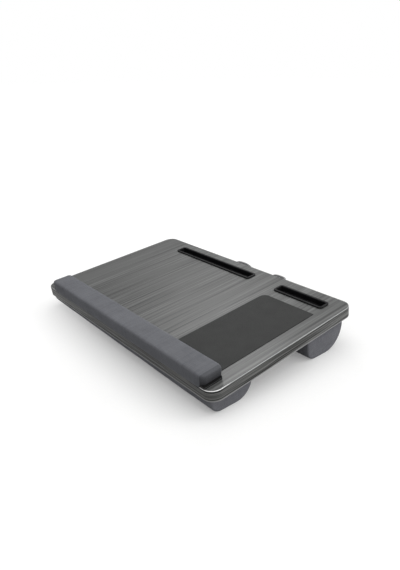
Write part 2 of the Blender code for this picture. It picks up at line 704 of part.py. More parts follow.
def ear_cutter(name, side):
    """Holes for one ear's peg and screw, through the edge band into the rear rail."""
    depth = CORE_INSET + EAR_PEG_LENGTH
    start = HALF_DEPTH - depth - GAP
    peg = moved(hole_mesh(EAR_PEG_RADIUS + GAP, 0.0, depth + OVERRUN),
                (ear_inner_x(side) + side * EAR_WIDTH / 2, start, EAR_PEG_Z), TOWARDS_REAR)
    reach = EAR_SCREW_LENGTH + GAP
    screw = moved(hole_mesh(SCREW_HOLE_RADIUS, 0.0, reach + OVERRUN),
                  (ear_inner_x(side) + side * EAR_SCREW_OUT, HALF_DEPTH - reach, EAR_SCREW_Z), TOWARDS_REAR)
    return add_cutter(name, join_meshes(name, [peg, screw]))


def make_ear(name, side):
    """Ear with a blind bore for the handle's end, a screw flange, a peg, and a shelf that the
    handle's arm comes down on."""
    seat = HALF_DEPTH + GAP
    low = EAR_TOP - EAR_HEIGHT
    nose = []
    for step in range(CORNER_STEPS * 2 + 1):
        angle = math.pi / 2 - math.pi * step / (CORNER_STEPS * 2)
        nose.append((HANDLE_AXIS_Y + EAR_NOSE * math.cos(angle), HANDLE_AXIS_Z + EAR_NOSE * math.sin(angle)))
    profile = [(seat, low), (seat, EAR_TOP), *nose]
    inner = ear_inner_x(side) + side * GAP
    outer = inner + side * EAR_WIDTH
    low_x, high_x = sorted((inner, outer))
    ear = add_part(name, across(slab(name, profile, low_x, high_x)), HANDLE_PLASTIC)
    flange_low, flange_high = sorted((inner + side * EAR_WIDTH / 2, outer + side * EAR_FLANGE_LENGTH))
    plate = slab("flange", rounded_rectangle(
        flange_low, flange_high, -EAR_TOP, -low, EAR_FLANGE_THICK, EAR_FLANGE_THICK, FINE_STEPS),
        0.0, EAR_FLANGE_THICK)
    flange = moved(plate, (0.0, seat, 0.0), TOWARDS_REAR)
    peg = moved(hole_mesh(EAR_PEG_RADIUS, 0.0, EAR_PEG_LENGTH + EAR_FLANGE_THICK),
                ((inner + outer) / 2, seat - EAR_PEG_LENGTH, EAR_PEG_Z), TOWARDS_REAR)
    shelf_z = HANDLE_AXIS_Z - HANDLE_RADIUS - GAP
    shelf_out = HANDLE_AXIS_Y + EAR_NOSE / 2
    shelf_low, shelf_high = sorted((inner - side * EAR_SHELF_WIDTH, inner + side * EAR_WIDTH / 2))
    shelf = across(slab("shelf", rounded_rectangle(
        seat, shelf_out, shelf_z - EAR_SHELF_THICK, shelf_z, GAP, GAP, 1), shelf_low, shelf_high))
    for label, mesh in (("flange", flange), ("peg", peg), ("shelf", shelf)):
        fuse = ear.modifiers.new(label, "BOOLEAN")
        fuse.operation = "UNION"
        fuse.solver = "EXACT"
        fuse.object = add_cutter(name + "_" + label, mesh)
    bore = moved(
        hole_mesh(HANDLE_RADIUS + GAP, -OVERRUN, HANDLE_PIN_LENGTH + GAP),
        (inner, HANDLE_AXIS_Y, HANDLE_AXIS_Z), Matrix.Rotation(side * math.pi / 2, 4, "Y"))
    cut(ear, add_cutter(name + "_bore", bore))
    screw_hole = moved(
        hole_mesh(SCREW_HOLE_RADIUS, -OVERRUN, OVERRUN),
        (ear_inner_x(side) + side * EAR_SCREW_OUT, seat, EAR_SCREW_Z), TOWARDS_REAR)
    cut(ear, add_cutter(name + "_screw_hole", screw_hole))


def make_handle_screws():
    seat = HALF_DEPTH + GAP + EAR_FLANGE_THICK + GAP
    screw = screw_mesh(EAR_SCREW_LENGTH + seat - HALF_DEPTH - GAP)
    add_screws("ear_screw", moved(screw, ORIGIN, TOWARDS_REAR), [
        (ear_inner_x(side) + side * EAR_SCREW_OUT, seat, EAR_SCREW_Z) for side in EARS.values()])


def make_handle():
    """Bail with its origin on the line through both ears: out, along, and down at the grip."""
    half = HANDLE_SPAN / 2
    arm = half - HANDLE_SIDE_GAP - HANDLE_RADIUS
    bend = HANDLE_CORNER / 4
    right_half = [
        (half + HANDLE_PIN_LENGTH, 0.0, 0.0),
        (half, 0.0, 0.0),
        (arm + bend, 0.0, 0.0),
        (arm, HANDLE_CORNER, HANDLE_RISE / 2),
        (arm, HANDLE_REACH - HANDLE_CORNER, HANDLE_RISE),
        (arm - HANDLE_CORNER, HANDLE_REACH, HANDLE_RISE),
        (arm * HANDLE_SHOULDER_SHARE, HANDLE_REACH, HANDLE_RISE),
        (arm * HANDLE_GRIP_SHARE, HANDLE_REACH, -HANDLE_SAG),
        (0.0, HANDLE_REACH, -HANDLE_SAG),
    ]
    points = right_half + [(-x, y, z) for x, y, z in reversed(right_half[:-1])]
    curve = bpy.data.curves.new("carry_handle", "CURVE")
    curve.dimensions = "3D"
    curve.bevel_depth = HANDLE_RADIUS
    curve.bevel_resolution = 1
    curve.resolution_u = HANDLE_RESOLUTION
    curve.use_fill_caps = True
    spline = curve.splines.new("NURBS")
    spline.points.add(len(points) - 1)
    for point, place in zip(spline.points, points):
        point.co = (*place, 1.0)
    spline.order_u = 3
    spline.use_endpoint_u = True
    carrier = bpy.data.objects.new("carry_handle", curve)
    bpy.context.scene.collection.objects.link(carrier)
    work = bmesh.new()
    work.from_mesh(evaluated_mesh(carrier))
    handle = add_part("carry_handle", mesh_from(work, "carry_handle"), HANDLE_PLASTIC)
    handle.location = (HANDLE_X, HANDLE_AXIS_Y, HANDLE_AXIS_Z)
    handle.data.shade_smooth()


def centre_on_origin():
    """Slide the leaning desk along Y so that the middle of its bounding box is at y = 0."""
    bpy.context.view_layer.update()
    graph = bpy.context.evaluated_depsgraph_get()
    reach = []
    for part in TILT_EMPTY.children:
        if part.hide_render:
            continue
        shown = part.evaluated_get(graph)
        reach += [(shown.matrix_world @ vertex.co).y for vertex in shown.data.vertices]
    TILT_EMPTY.location.y = -(min(reach) + max(reach)) / 2


clear_scene()
PARTS = new_collection("lap_desk")
CUTTERS = new_collection("cutters")
TILT_EMPTY = bpy.data.objects.new("desk_tilt", None)
PARTS.objects.link(TILT_EMPTY)
TILT_EMPTY.location = (0.0, 0.0, DESK_HEIGHT)
TILT_EMPTY.rotation_euler = (TILT, 0.0, 0.0)

FLOOR = add_cutter("floor", slab(
    "floor", centred_rectangle(BOARD_LENGTH, BOARD_DEPTH, BOARD_CORNER), -OVERRUN, 0.0), leans=False)
REST_PILOTS = holes_cutter(
    "rest_pilots", REST_SCREW_PLACES, SCREW_HOLE_RADIUS, RAIL_UNDER - OVERRUN, REST_SCREW_GRIP + GAP * 2)
PANEL_PILOTS = holes_cutter(
    "panel_pilots", PANEL_SCREW_PLACES, SCREW_HOLE_RADIUS, PANEL_UNDER - OVERRUN,
    PANEL_UNDER + PANEL_SCREW_LENGTH)
CUSHION_PILOTS = holes_cutter(
    "cushion_pilots", CUSHION_SCREW_PLACES, SCREW_HOLE_RADIUS,
    BACKING_UNDER + CUSHION_SCREW_TIP_SKIN, CUSHION_TOP + OVERRUN)

make_top_board()
wooden_parts = make_rails(make_edge_band()) + make_ribs()
make_bottom_panel()
make_panel_screws(wooden_parts)
for slot_name, slot_place in SLOTS.items():
    make_slot_insert(slot_name, *slot_place)
make_mouse_pad()
make_wrist_rest()
make_cushion("front_cushion", FRONT_CUSHION_FRONT, FRONT_CUSHION_REAR, FRONT_CUSHION_ROUND_SHARES)
make_cushion("rear_cushion", REAR_CUSHION_FRONT, REAR_CUSHION_REAR, REAR_CUSHION_ROUND_SHARES)
make_cushion_screws()
for ear_name, ear_side in EARS.items():
    make_ear("handle_ear_" + ear_name, ear_side)
make_handle_screws()
make_handle()
centre_on_origin()
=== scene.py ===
import json
import math

import bmesh
import bpy
from mathutils import Matrix, Vector, kdtree, noise


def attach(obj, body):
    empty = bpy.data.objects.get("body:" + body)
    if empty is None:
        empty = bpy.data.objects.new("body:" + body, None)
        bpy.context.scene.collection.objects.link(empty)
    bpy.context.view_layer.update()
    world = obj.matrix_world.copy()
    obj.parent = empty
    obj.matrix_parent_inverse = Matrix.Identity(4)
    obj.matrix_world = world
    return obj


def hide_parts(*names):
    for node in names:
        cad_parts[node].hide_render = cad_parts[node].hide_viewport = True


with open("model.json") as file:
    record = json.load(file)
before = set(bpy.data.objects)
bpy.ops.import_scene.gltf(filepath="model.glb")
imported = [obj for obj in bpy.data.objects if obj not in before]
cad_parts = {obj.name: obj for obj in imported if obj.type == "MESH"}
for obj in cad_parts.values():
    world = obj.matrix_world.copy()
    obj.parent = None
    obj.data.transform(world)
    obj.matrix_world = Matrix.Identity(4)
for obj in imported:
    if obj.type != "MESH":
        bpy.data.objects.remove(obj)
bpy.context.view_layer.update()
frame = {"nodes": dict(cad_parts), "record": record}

# All lengths are in metres. The board leans to the user, so pieces are made in the board's own
# frame, where z = 0 is its top, and DESK turns them into the world.
TILT = math.radians(5.7)
DESK_ORIGIN = Vector((0.0, -0.010939, 0.069))
DESK = Matrix.Translation(DESK_ORIGIN) @ Matrix.Rotation(TILT, 4, "X")
TO_BOARD = DESK.inverted()

# Board and its edge band. Faces of the band that look up this much have the top's grain.
HALF_X = 0.300
HALF_Y = 0.180
CORNER = 0.022
SIDE_UNDER = -0.0213
BAND_TOP_ROUND = 0.0017
BAND_LOW_ROUND = 0.0008
BAND_INNER = 0.0027
BAND_LIP = 0.00004
FLAT_ENOUGH = 0.93

# Slots: x0, x1, y0, y1 of the raised rim. A ledge runs round the inside, above the floor.
RIM_HALF = 0.0139
SLOTS = {
    "tablet_slot_insert": (-0.209, 0.0566, 0.1426 - RIM_HALF, 0.1426 + RIM_HALF),
    "phone_slot_insert": (0.1358, 0.264, 0.1391 - RIM_HALF, 0.1391 + RIM_HALF),
}
RIM_CORNER = 0.007
RIM_SEAT = -0.0001
RIM_HEIGHT = 0.0030
RIM_ROUND = 0.0010
SLOT_FLANGE = 0.0022
SLOT_WALL = 0.0026
SLOT_DEPTH = 0.0165
SLOT_FLOOR = 0.0020
SLOT_LEDGE = 0.0011
SLOT_LEDGE_DROP = 0.0080
SLOT_LEDGE_SLOPE = 0.0004
SLOT_CHAMFER = 0.0008

# Mouse pad: x0, x1, y0, y1. Painted shade along its right edge comes in between two places along x.
PAD = (0.1327, 0.2655, -0.1361, 0.103)
PAD_RADII = (0.002, 0.002, 0.014, 0.014)
PAD_LOW = -0.0007
PAD_TOP = 0.0004
PAD_ROUND = 0.0004
PAD_EDGE_SHADE_SPAN = (PAD[1] - 0.0024, PAD[1] - 0.0012)

# Wrist rest. The plinth is the plate that it is upholstered on.
REST_LEFT = -0.260
REST_RIGHT = 0.281
REST_FRONT = -0.180
REST_REAR = -0.1364
REST_HEIGHT = 0.0235
REST_SWELL_ROOM = 0.0004
REST_OVERHANG = 0.0008
REST_HEM = -0.0015
REST_FRONT_SLACK = 0.0002
REST_FRONT_ROUND = 0.0040
REST_REAR_ROUND = 0.0035
REST_LOW_ROUND = 0.0010
REST_END_ROUND = 0.0090
REST_REAR_TAPER = 0.6
REST_TOP_TAPER = (0.12, 0.28)
REST_SEAM = 0.0005
REST_SWELL = 0.0009
REST_HELD = 0.008
REST_RIPPLE = 0.00018
REST_RIPPLE_SCALE = (22, 40, 40)
REST_VOXEL = 0.004
UNDERCUT = 0.0022
UNDERCUT_TOP = 0.015
UNDERCUT_HEIGHT = 0.010
UNDERCUT_REACH = 1.4
UNDERCUT_POWER = 1.5
PLINTH_TOP = 0.0048
PLINTH_LOW = 0.0001
PLINTH_INSET = 0.0006
PLINTH_GROOVE = 0.0003
PLINTH_LINE = 0.0024
PLINTH_CORNER = 0.0030
PLINTH_RECT = (REST_LEFT, REST_RIGHT + 0.0020, REST_FRONT, REST_REAR - 0.004)

# Painted shade on the end panels of the rest: it starts at a share of the end's round, and grows
# downwards.
PANEL_START = 0.86
PANEL_BLEND = 0.12
PANEL_TOP_DROP = 0.001
PANEL_SHADE_DEPTH = 0.0170
PANEL_SHADE_LEAST = 0.42

# Cushions: name, front, rear, rounds of the lower front and rear edges, and slump
CUSHIONS = (
    ("front_cushion", -0.1752, -0.0828, 0.0235, 0.034, 0.009),
    ("rear_cushion", 0.0575, 0.1625, 0.022, 0.048, 0.0),
)
CUSHION_HALF = 0.288
CUSHION_END_ROUND = 0.0030
CUSHION_TUCK = 0.0004
CUSHION_SWELL = 0.0014
CUSHION_TOP = -0.0216
CUSHION_TOP_ROUND = 0.002
CUSHION_HELD = 0.012
CUSHION_RIPPLE = 0.0004
CUSHION_RIPPLE_SCALE = (16, 30, 30)
CUSHION_VOXEL = 0.005
SLUMP_POWER = 1.5
FLOOR_GAP = 0.0002

# Handle. Its axis is given as y and z, and the reach, rise and sag are measured from it.
HANDLE_X = 0.029
HANDLE_SPAN = 0.161
HANDLE_RADIUS = 0.0025
HANDLE_AXIS = (0.1865, -0.0125)
HANDLE_REACH = 0.0125
HANDLE_RISE = 0.0014
HANDLE_SAG = 0.0068
HANDLE_SIDE_GAP = 0.0005
HANDLE_CORNER = 0.005
HANDLE_PIN = 0.006
SHOULDER_SHARE = 0.58
GRIP_SHARE = 0.42

# Steps round corners and along the padded pieces, and the angles from which an edge is sharp
CORNER_STEPS = 20
SLOT_CORNER_STEPS = 8
PAD_CORNER_STEPS = 10
PLINTH_CORNER_STEPS = 6
ROUND_STEPS = 6
LOW_ROUND_STEPS = 4
PAD_ROUND_STEPS = 3
SECTION_STEPS = 10
SMALLEST_RADIUS = 0.0002
SHARP_HARD, SHARP_HANDLE, SHARP_CLOTH = 35.0, 50.0, 60.0
REST_AROUND, REST_ALONG = 88, 60
CUSHION_AROUND, CUSHION_ALONG = 96, 56

# Ends of the padded pieces, in steps round the end, and the rings that close them
END_STEPS = 12
END_FULLNESS = 0.8
SEAM_STEP = 1
SEAM_WIDTH = 0.7
END_RINGS = (0.90, 0.78, 0.64, 0.48, 0.32, 0.16)

# Cloth simulation of the filling
CLOTH_FRAMES = 20
CLOTH_QUALITY = 5
CLOTH_MASS = 0.3
CLOTH_PRESSURE = 4.0
CLOTH_NEIGHBOURS = 12
LEAST_WEIGHT = 1e-6
SMOOTH_ROUNDS = 6

# Painted light on the board's side, a highlight on each round edge and a shade line under the upper
# one: the heights between which each comes in. The upper highlight and the shade line are stronger
# near one corner, between two distances from it.
TOP_HIGHLIGHT_HEIGHTS = (-0.0012, -0.0007)
SHADE_LINE_HEIGHTS = (-0.0046, -0.0034)
LOW_HIGHLIGHT_HEIGHTS = (SIDE_UNDER + 0.0026, SIDE_UNDER + 0.0016)
PAINTED_LIGHT_CORNER = (0.283, -0.178, -0.01)
PAINTED_LIGHT_CORNER_REACH = (0.050, 0.018)

# Colours
WHITE = (1.0, 1.0, 1.0)
BLACK = (0.0, 0.0, 0.0)
TOP_DARK = (0.046, 0.047, 0.046)
TOP_MIDDLE = (0.100, 0.102, 0.100)
TOP_LIGHT = (0.162, 0.165, 0.162)
SIDE_DARK = (0.018, 0.018, 0.017)
SIDE_MIDDLE = (0.086, 0.087, 0.084)
SIDE_LIGHT = (0.185, 0.186, 0.181)
# Painted light on the band's side: a shade line, and highlights on its round edges
SIDE_SHADE_LINE = (0.004, 0.004, 0.004)
TOP_EDGE_HIGHLIGHT = (0.39, 0.40, 0.40)
CORNER_EDGE_HIGHLIGHT = (0.95, 0.95, 0.95)
LOW_EDGE_HIGHLIGHT = (0.44, 0.44, 0.44)
SPRUCE_DARK = (0.36, 0.24, 0.14)
SPRUCE_MIDDLE = (0.52, 0.39, 0.25)
SPRUCE_LIGHT = (0.60, 0.47, 0.32)
PANEL_DARK = (0.055, 0.055, 0.056)
PANEL_LIGHT = (0.105, 0.105, 0.106)
PLINTH_DARK = (0.007, 0.007, 0.007)
PLINTH_LIGHT = (0.016, 0.016, 0.016)
PLINTH_HIGHLIGHT_LINE = (0.085, 0.086, 0.088)
SLOT_DARK = (0.005, 0.005, 0.006)
SLOT_LIGHT = (0.012, 0.012, 0.013)
HANDLE_DARK = (0.21, 0.21, 0.215)
HANDLE_LIGHT = (0.28, 0.28, 0.285)
PAD_DARK = (0.028, 0.029, 0.028)
PAD_LIGHT = (0.036, 0.037, 0.036)
PAD_CREASE_SHADE = (0.018, 0.018, 0.018)
PAD_EDGE_SHADE = (0.006, 0.006, 0.006)
STEEL_DARK = (0.48, 0.48, 0.50)
STEEL_LIGHT = (0.62, 0.62, 0.62)
REST_DARK = (0.110, 0.113, 0.124)
REST_LIGHT = (0.192, 0.197, 0.213)
CUSHION_DARK = (0.134, 0.136, 0.150)
CUSHION_LIGHT = (0.228, 0.231, 0.250)
CLOTH_SHEEN = (0.80, 0.82, 0.90)
FLOOR_DARK = (0.93, 0.93, 0.925)
FLOOR_LIGHT = (0.95, 0.95, 0.945)
FLOOR_BOUNCE = (0.38, 0.38, 0.38)

# Pitch of the yarns
REST_PITCH = 0.0007
CUSHION_PITCH = 0.0009

# Floor: it turns white between two distances from the middle of the desk's shadow.
FLOOR_HALF = 30.0
FLOOR_MIDDLE = (0.15, 0.08, -0.07)
FLOOR_FADE = (0.24, 0.90)
FLOOR_WHITE = 1.14
FLOOR_LEAST_WHITE = 0.17

# World: its light grows towards the upper right rear.
WORLD_BRIGHT_SIDE = (0.60, 0.32, 0.73)
WORLD_RISE = 0.46
WORLD_LEVEL = 0.44

# Lamps: name, place, target, size and watts
LAMPS = (
    ("key", (1.3, 1.5, 2.1), (0.0, 0.0, 0.03), 1.1, 12.5),
    ("overhead", (-0.3, 0.1, 2.4), (0.0, 0.0, 0.03), 2.0, 18.5),
    ("window", (-1.3, 0.97, 1.65), (0.28, -0.10, 0.05), 0.7, 4.5),
    ("side", (2.1, 0.7, 0.42), (0.2, 0.0, 0.03), 1.2, 9.0),
)


def clamped(share):
    return max(0.0, min(1.0, share))


def eased(share):
    share = clamped(share)
    return share * share * (3 - 2 * share)


# ---------------------------------------------------------------- materials


def rgb(colour, share=1.0):
    return (*[value * share for value in colour], 1.0)


class Shade:
    """The nodes of a material or of the world, built one at a time."""

    def __init__(self, owner):
        owner.use_nodes = True
        self.owner = owner
        self.tree = owner.node_tree
        self.tree.nodes.clear()

    def node(self, kind, inputs=None, **settings):
        made = self.tree.nodes.new("ShaderNode" + kind)
        for key, value in settings.items():
            setattr(made, key, value)
        for key, value in (inputs or {}).items():
            if isinstance(value, bpy.types.NodeSocket):
                self.tree.links.new(value, made.inputs[key])
            else:
                made.inputs[key].default_value = value
        return made

    def math(self, operation, first, second=0.0, third=0.0):
        made = self.node("Math", {0: first, 1: second, 2: third}, operation=operation)
        return made.outputs[0]

    def weighted(self, *pairs):
        """The sum of values, each times its weight."""
        (value, weight), *others = pairs
        total = self.math("MULTIPLY", value, weight)
        for value, weight in others:
            total = self.math("MULTIPLY_ADD", value, weight, total)
        return total

    def blend(self, factor, first, second):
        """A mix of two colours."""
        return self.node("Mix", {0: factor, 6: first, 7: second}, data_type="RGBA").outputs[2]

    def between(self, factor, first, second):
        """A mix of two numbers."""
        return self.node("Mix", {0: factor, 2: first, 3: second}, data_type="FLOAT").outputs[0]

    def ramp(self, factor, *stops):
        """Colours at given values of the factor, and mixes of them in between."""
        made = self.node("ValToRGB", {"Fac": factor})
        ramp = made.color_ramp
        while len(ramp.elements) < len(stops):
            ramp.elements.new(0.5)
        for element, (position, colour) in zip(ramp.elements, stops):
            element.position = position
            element.color = rgb(colour)
        return made.outputs[0]

    def fade(self, value, ends, kind="SMOOTHSTEP"):
        """0 at the first end and 1 at the second."""
        return self.node(
            "MapRange", {"Value": value, "From Min": ends[0], "From Max": ends[1]},
            interpolation_type=kind).outputs[0]

    def noise(self, vector, scale, detail, roughness):
        inputs = {"Vector": vector, "Scale": scale, "Detail": detail, "Roughness": roughness}
        return self.node("TexNoise", inputs).outputs[0]

    def place(self):
        """Position in the board's frame: the piece's own, turned back to the flat board."""
        here = self.node("TexCoord").outputs["Object"]
        turned = {"Vector": here, "Rotation": (-TILT, 0.0, 0.0), "Location": TO_BOARD.translation}
        return self.node("Mapping", turned).outputs[0]

    def scaled(self, vector, scale):
        return self.node("Mapping", {"Vector": vector, "Scale": scale}).outputs[0]

    def part(self, vector, axis):
        return self.node("SeparateXYZ", {0: vector}).outputs[axis]

    def distance(self, vector, point):
        inputs = {0: vector, 1: point}
        return self.node("VectorMath", inputs, operation="DISTANCE").outputs["Value"]

    def bump(self, height, distance, strength):
        inputs = {"Height": height, "Distance": distance, "Strength": strength}
        return self.node("Bump", inputs).outputs[0]

    def surface(self, inputs):
        body = self.node("BsdfPrincipled", inputs)
        self.node("OutputMaterial", {0: body.outputs[0]})
        return self.owner


def new_shade(name):
    return Shade(bpy.data.materials.new(name))


def grain_material():
    """Printed wood grain under a satin coat: straight streaks along y, fine over broad ones."""
    shade = new_shade("wood_grain")
    drawn = shade.scaled(shade.place(), (1.0, 0.010, 0.010))
    broad = shade.noise(drawn, 45.0, 2.0, 0.5)
    middle = shade.noise(drawn, 190.0, 2.0, 0.6)
    fine = shade.noise(drawn, 560.0, 2.0, 0.6)
    pores = shade.noise(shade.scaled(drawn, (1.0, 6.0, 1.0)), 1900.0, 1.0, 0.5)
    share = shade.weighted((broad, 0.18), (middle, 0.52), (fine, 0.30))
    tone = shade.ramp(
        share, (0.41, TOP_DARK), (0.48, TOP_MIDDLE), (0.52, TOP_MIDDLE), (0.59, TOP_LIGHT))
    pore_mask = shade.ramp(pores, (0.60, BLACK), (0.72, WHITE))
    tone = shade.blend(shade.math("MULTIPLY", pore_mask, 0.30), tone, rgb(TOP_DARK, 0.55))
    height = shade.weighted((pore_mask, -0.5), (fine, 0.6))
    return shade.surface({
        "Base Color": tone, "Roughness": shade.math("MULTIPLY_ADD", middle, 0.12, 0.26),
        "Normal": shade.bump(height, 0.00006, 0.5), "Specular IOR Level": 0.5})


def edge_material():
    """Grain on the banding: streaks along the sides, a painted highlight on both round edges, and a
    painted shade line under the upper one.
    """
    shade = new_shade("edge_grain")
    place = shade.place()
    height = shade.part(place, 2)
    wander = shade.noise(place, 9.0, 2.0, 0.5)
    level = shade.math("MULTIPLY_ADD", wander, 0.006, height)
    spread = shade.node("CombineXYZ", {2: level}).outputs[0]
    drawn = shade.node(
        "VectorMath", {0: place, 1: (0.016, 0.016, 0.0), 2: spread},
        operation="MULTIPLY_ADD").outputs[0]
    broad = shade.noise(drawn, 160.0, 1.0, 0.5)
    middle = shade.noise(drawn, 480.0, 1.0, 0.5)
    fine = shade.noise(drawn, 1300.0, 2.0, 0.6)
    share = shade.weighted((broad, 0.20), (middle, 0.62), (fine, 0.18))
    tone = shade.ramp(
        share, (0.41, SIDE_DARK), (0.47, SIDE_MIDDLE), (0.52, SIDE_MIDDLE), (0.58, SIDE_LIGHT))
    # Masks of the painted highlights on the round edges and of the painted shade line under the
    # upper one
    upper = shade.fade(height, TOP_HIGHLIGHT_HEIGHTS)
    lower = shade.fade(height, LOW_HIGHLIGHT_HEIGHTS)
    line = shade.fade(height, SHADE_LINE_HEIGHTS)
    speck = shade.noise(place, 700.0, 2.0, 0.6)
    # The painted shade line and the upper painted highlight are stronger near the front right
    # corner
    corner = shade.fade(shade.distance(place, PAINTED_LIGHT_CORNER), PAINTED_LIGHT_CORNER_REACH)
    dark = shade.math("MULTIPLY", line, shade.math("MULTIPLY_ADD", corner, 0.65, 0.30))
    tone = shade.blend(dark, tone, rgb(SIDE_SHADE_LINE))
    # Painted highlight on the upper round edge, speckled, then the painted highlight on the lower
    # one
    wear_and_highlight = shade.math("MULTIPLY", upper, shade.math("MULTIPLY_ADD", speck, 0.5, 0.72))
    pale = shade.blend(corner, rgb(TOP_EDGE_HIGHLIGHT), rgb(CORNER_EDGE_HIGHLIGHT))
    tone = shade.blend(wear_and_highlight, tone, pale)
    tone = shade.blend(shade.math("MULTIPLY", lower, 0.75), tone, rgb(LOW_EDGE_HIGHLIGHT))
    rough = shade.math("MULTIPLY_ADD", middle, 0.12, 0.42)
    rough = shade.math("MULTIPLY_ADD", upper, -0.22, rough)
    return shade.surface({
        "Base Color": tone, "Roughness": rough,
        "Normal": shade.bump(fine, 0.00006, 0.5), "Specular IOR Level": 0.20})


def bare_wood_material():
    """Softwood of the frame: wavy rings and a fine fibre along x."""
    shade = new_shade("bare_wood")
    place = shade.place()
    drawn = shade.scaled(place, (0.06, 0.30, 1.0))
    waves = {"Vector": drawn, "Scale": 60.0, "Distortion": 5.0, "Detail": 3.0, "Detail Scale": 1.4}
    rings = shade.node("TexWave", waves, bands_direction="Z").outputs[0]
    fibre = shade.noise(shade.scaled(place, (0.05, 1.0, 1.0)), 900.0, 3.0, 0.6)
    share = shade.weighted((rings, 0.55), (fibre, 0.45))
    tone = shade.ramp(share, (0.15, SPRUCE_DARK), (0.55, SPRUCE_MIDDLE), (0.9, SPRUCE_LIGHT))
    return shade.surface({
        "Base Color": tone, "Roughness": shade.math("MULTIPLY_ADD", fibre, 0.2, 0.55),
        "Normal": shade.bump(fibre, 0.0001, 0.6)})


def hardboard_material():
    """Pressed fibre sheet: mottled, with a fine felted bump."""
    shade = new_shade("panel")
    place = shade.place()
    mottled = shade.noise(place, 55.0, 4.0, 0.6)
    felt = shade.noise(shade.scaled(place, (1.0, 0.35, 1.0)), 1300.0, 3.0, 0.7)
    share = shade.weighted((mottled, 0.45), (felt, 0.55))
    tone = shade.ramp(share, (0.35, PANEL_DARK), (0.65, PANEL_LIGHT))
    return shade.surface({
        "Base Color": tone, "Roughness": shade.math("MULTIPLY_ADD", mottled, 0.15, 0.55),
        "Normal": shade.bump(felt, 0.00012, 0.6)})


def plastic_material(name, dark, light, least_rough, gloss):
    """Moulded plastic with a fine spark-eroded texture."""
    shade = new_shade(name)
    place = shade.place()
    cells = shade.noise(place, 1700.0, 2.0, 0.6)
    cloud = shade.noise(place, 40.0, 3.0, 0.5)
    tone = shade.ramp(shade.weighted((cloud, 0.6), (cells, 0.4)), (0.35, dark), (0.65, light))
    return shade.surface({
        "Base Color": tone, "Roughness": shade.math("MULTIPLY_ADD", cells, 0.14, least_rough),
        "Normal": shade.bump(cells, 0.00005, 0.7), "Specular IOR Level": gloss})


def plinth_material():
    """Black edge of the plate under the rest, which also stands for the shadow gap under the cover,
    with a painted highlight line along its groove.
    """
    shade = new_shade("plinth")
    place = shade.place()
    off = shade.math("ABSOLUTE", shade.math("SUBTRACT", shade.part(place, 2), PLINTH_LINE))
    line = shade.fade(off, (0.0005, 0.0002), "LINEAR")
    speck = shade.noise(place, 1100.0, 2.0, 0.6)
    tone = shade.ramp(speck, (0.35, PLINTH_DARK), (0.65, PLINTH_LIGHT))
    # Painted highlight line along the groove
    tone = shade.blend(line, tone, rgb(PLINTH_HIGHLIGHT_LINE))
    return shade.surface({
        "Base Color": tone, "Roughness": shade.math("MULTIPLY_ADD", speck, 0.15, 0.55),
        "Normal": shade.bump(speck, 0.00006, 0.5), "Specular IOR Level": 0.15})


def leather_material():
    """Pressed leatherette: small uneven pebbles between fine creases, with painted shade in the
    creases and along the right edge.
    """
    shade = new_shade("pad_leather")
    place = shade.place()
    wander = shade.node("TexNoise", {"Vector": place, "Scale": 300.0, "Detail": 2.0}).outputs[1]
    warped = shade.node(
        "VectorMath", {0: wander, 1: (0.0012, 0.0012, 0.0012), 2: place},
        operation="MULTIPLY_ADD").outputs[0]
    pebbles = shade.node(
        "TexVoronoi", {"Vector": warped, "Scale": 820.0}, feature="DISTANCE_TO_EDGE").outputs[0]
    raised = shade.ramp(pebbles, (0.0, BLACK), (0.22, WHITE))
    cloud = shade.noise(place, 24.0, 4.0, 0.6)
    tone = shade.ramp(cloud, (0.3, PAD_DARK), (0.7, PAD_LIGHT))
    # Painted shade in the creases between the pebbles
    creases = shade.math("MULTIPLY_ADD", raised, -0.35, 0.35)
    tone = shade.blend(creases, tone, rgb(PAD_CREASE_SHADE))
    # Painted shade along the right edge
    edge = shade.fade(shade.part(place, 0), PAD_EDGE_SHADE_SPAN, "LINEAR")
    tone = shade.blend(shade.math("MULTIPLY", edge, 0.75), tone, rgb(PAD_EDGE_SHADE))
    return shade.surface({
        "Base Color": tone, "Roughness": shade.math("MULTIPLY_ADD", raised, -0.12, 0.66),
        "Normal": shade.bump(raised, 0.00008, 0.6), "Specular IOR Level": 0.25})


def steel_material():
    """Zinc-plated steel, brushed along y."""
    shade = new_shade("steel")
    place = shade.place()
    brushed = shade.noise(shade.scaled(place, (1.0, 0.1, 1.0)), 2600.0, 2.0, 0.6)
    cloud = shade.noise(place, 500.0, 2.0, 0.5)
    tone = shade.ramp(cloud, (0.3, STEEL_DARK), (0.7, STEEL_LIGHT))
    return shade.surface({
        "Base Color": tone, "Metallic": 1.0,
        "Roughness": shade.math("MULTIPLY_ADD", brushed, 0.22, 0.22),
        "Normal": shade.bump(brushed, 0.00003, 0.4)})


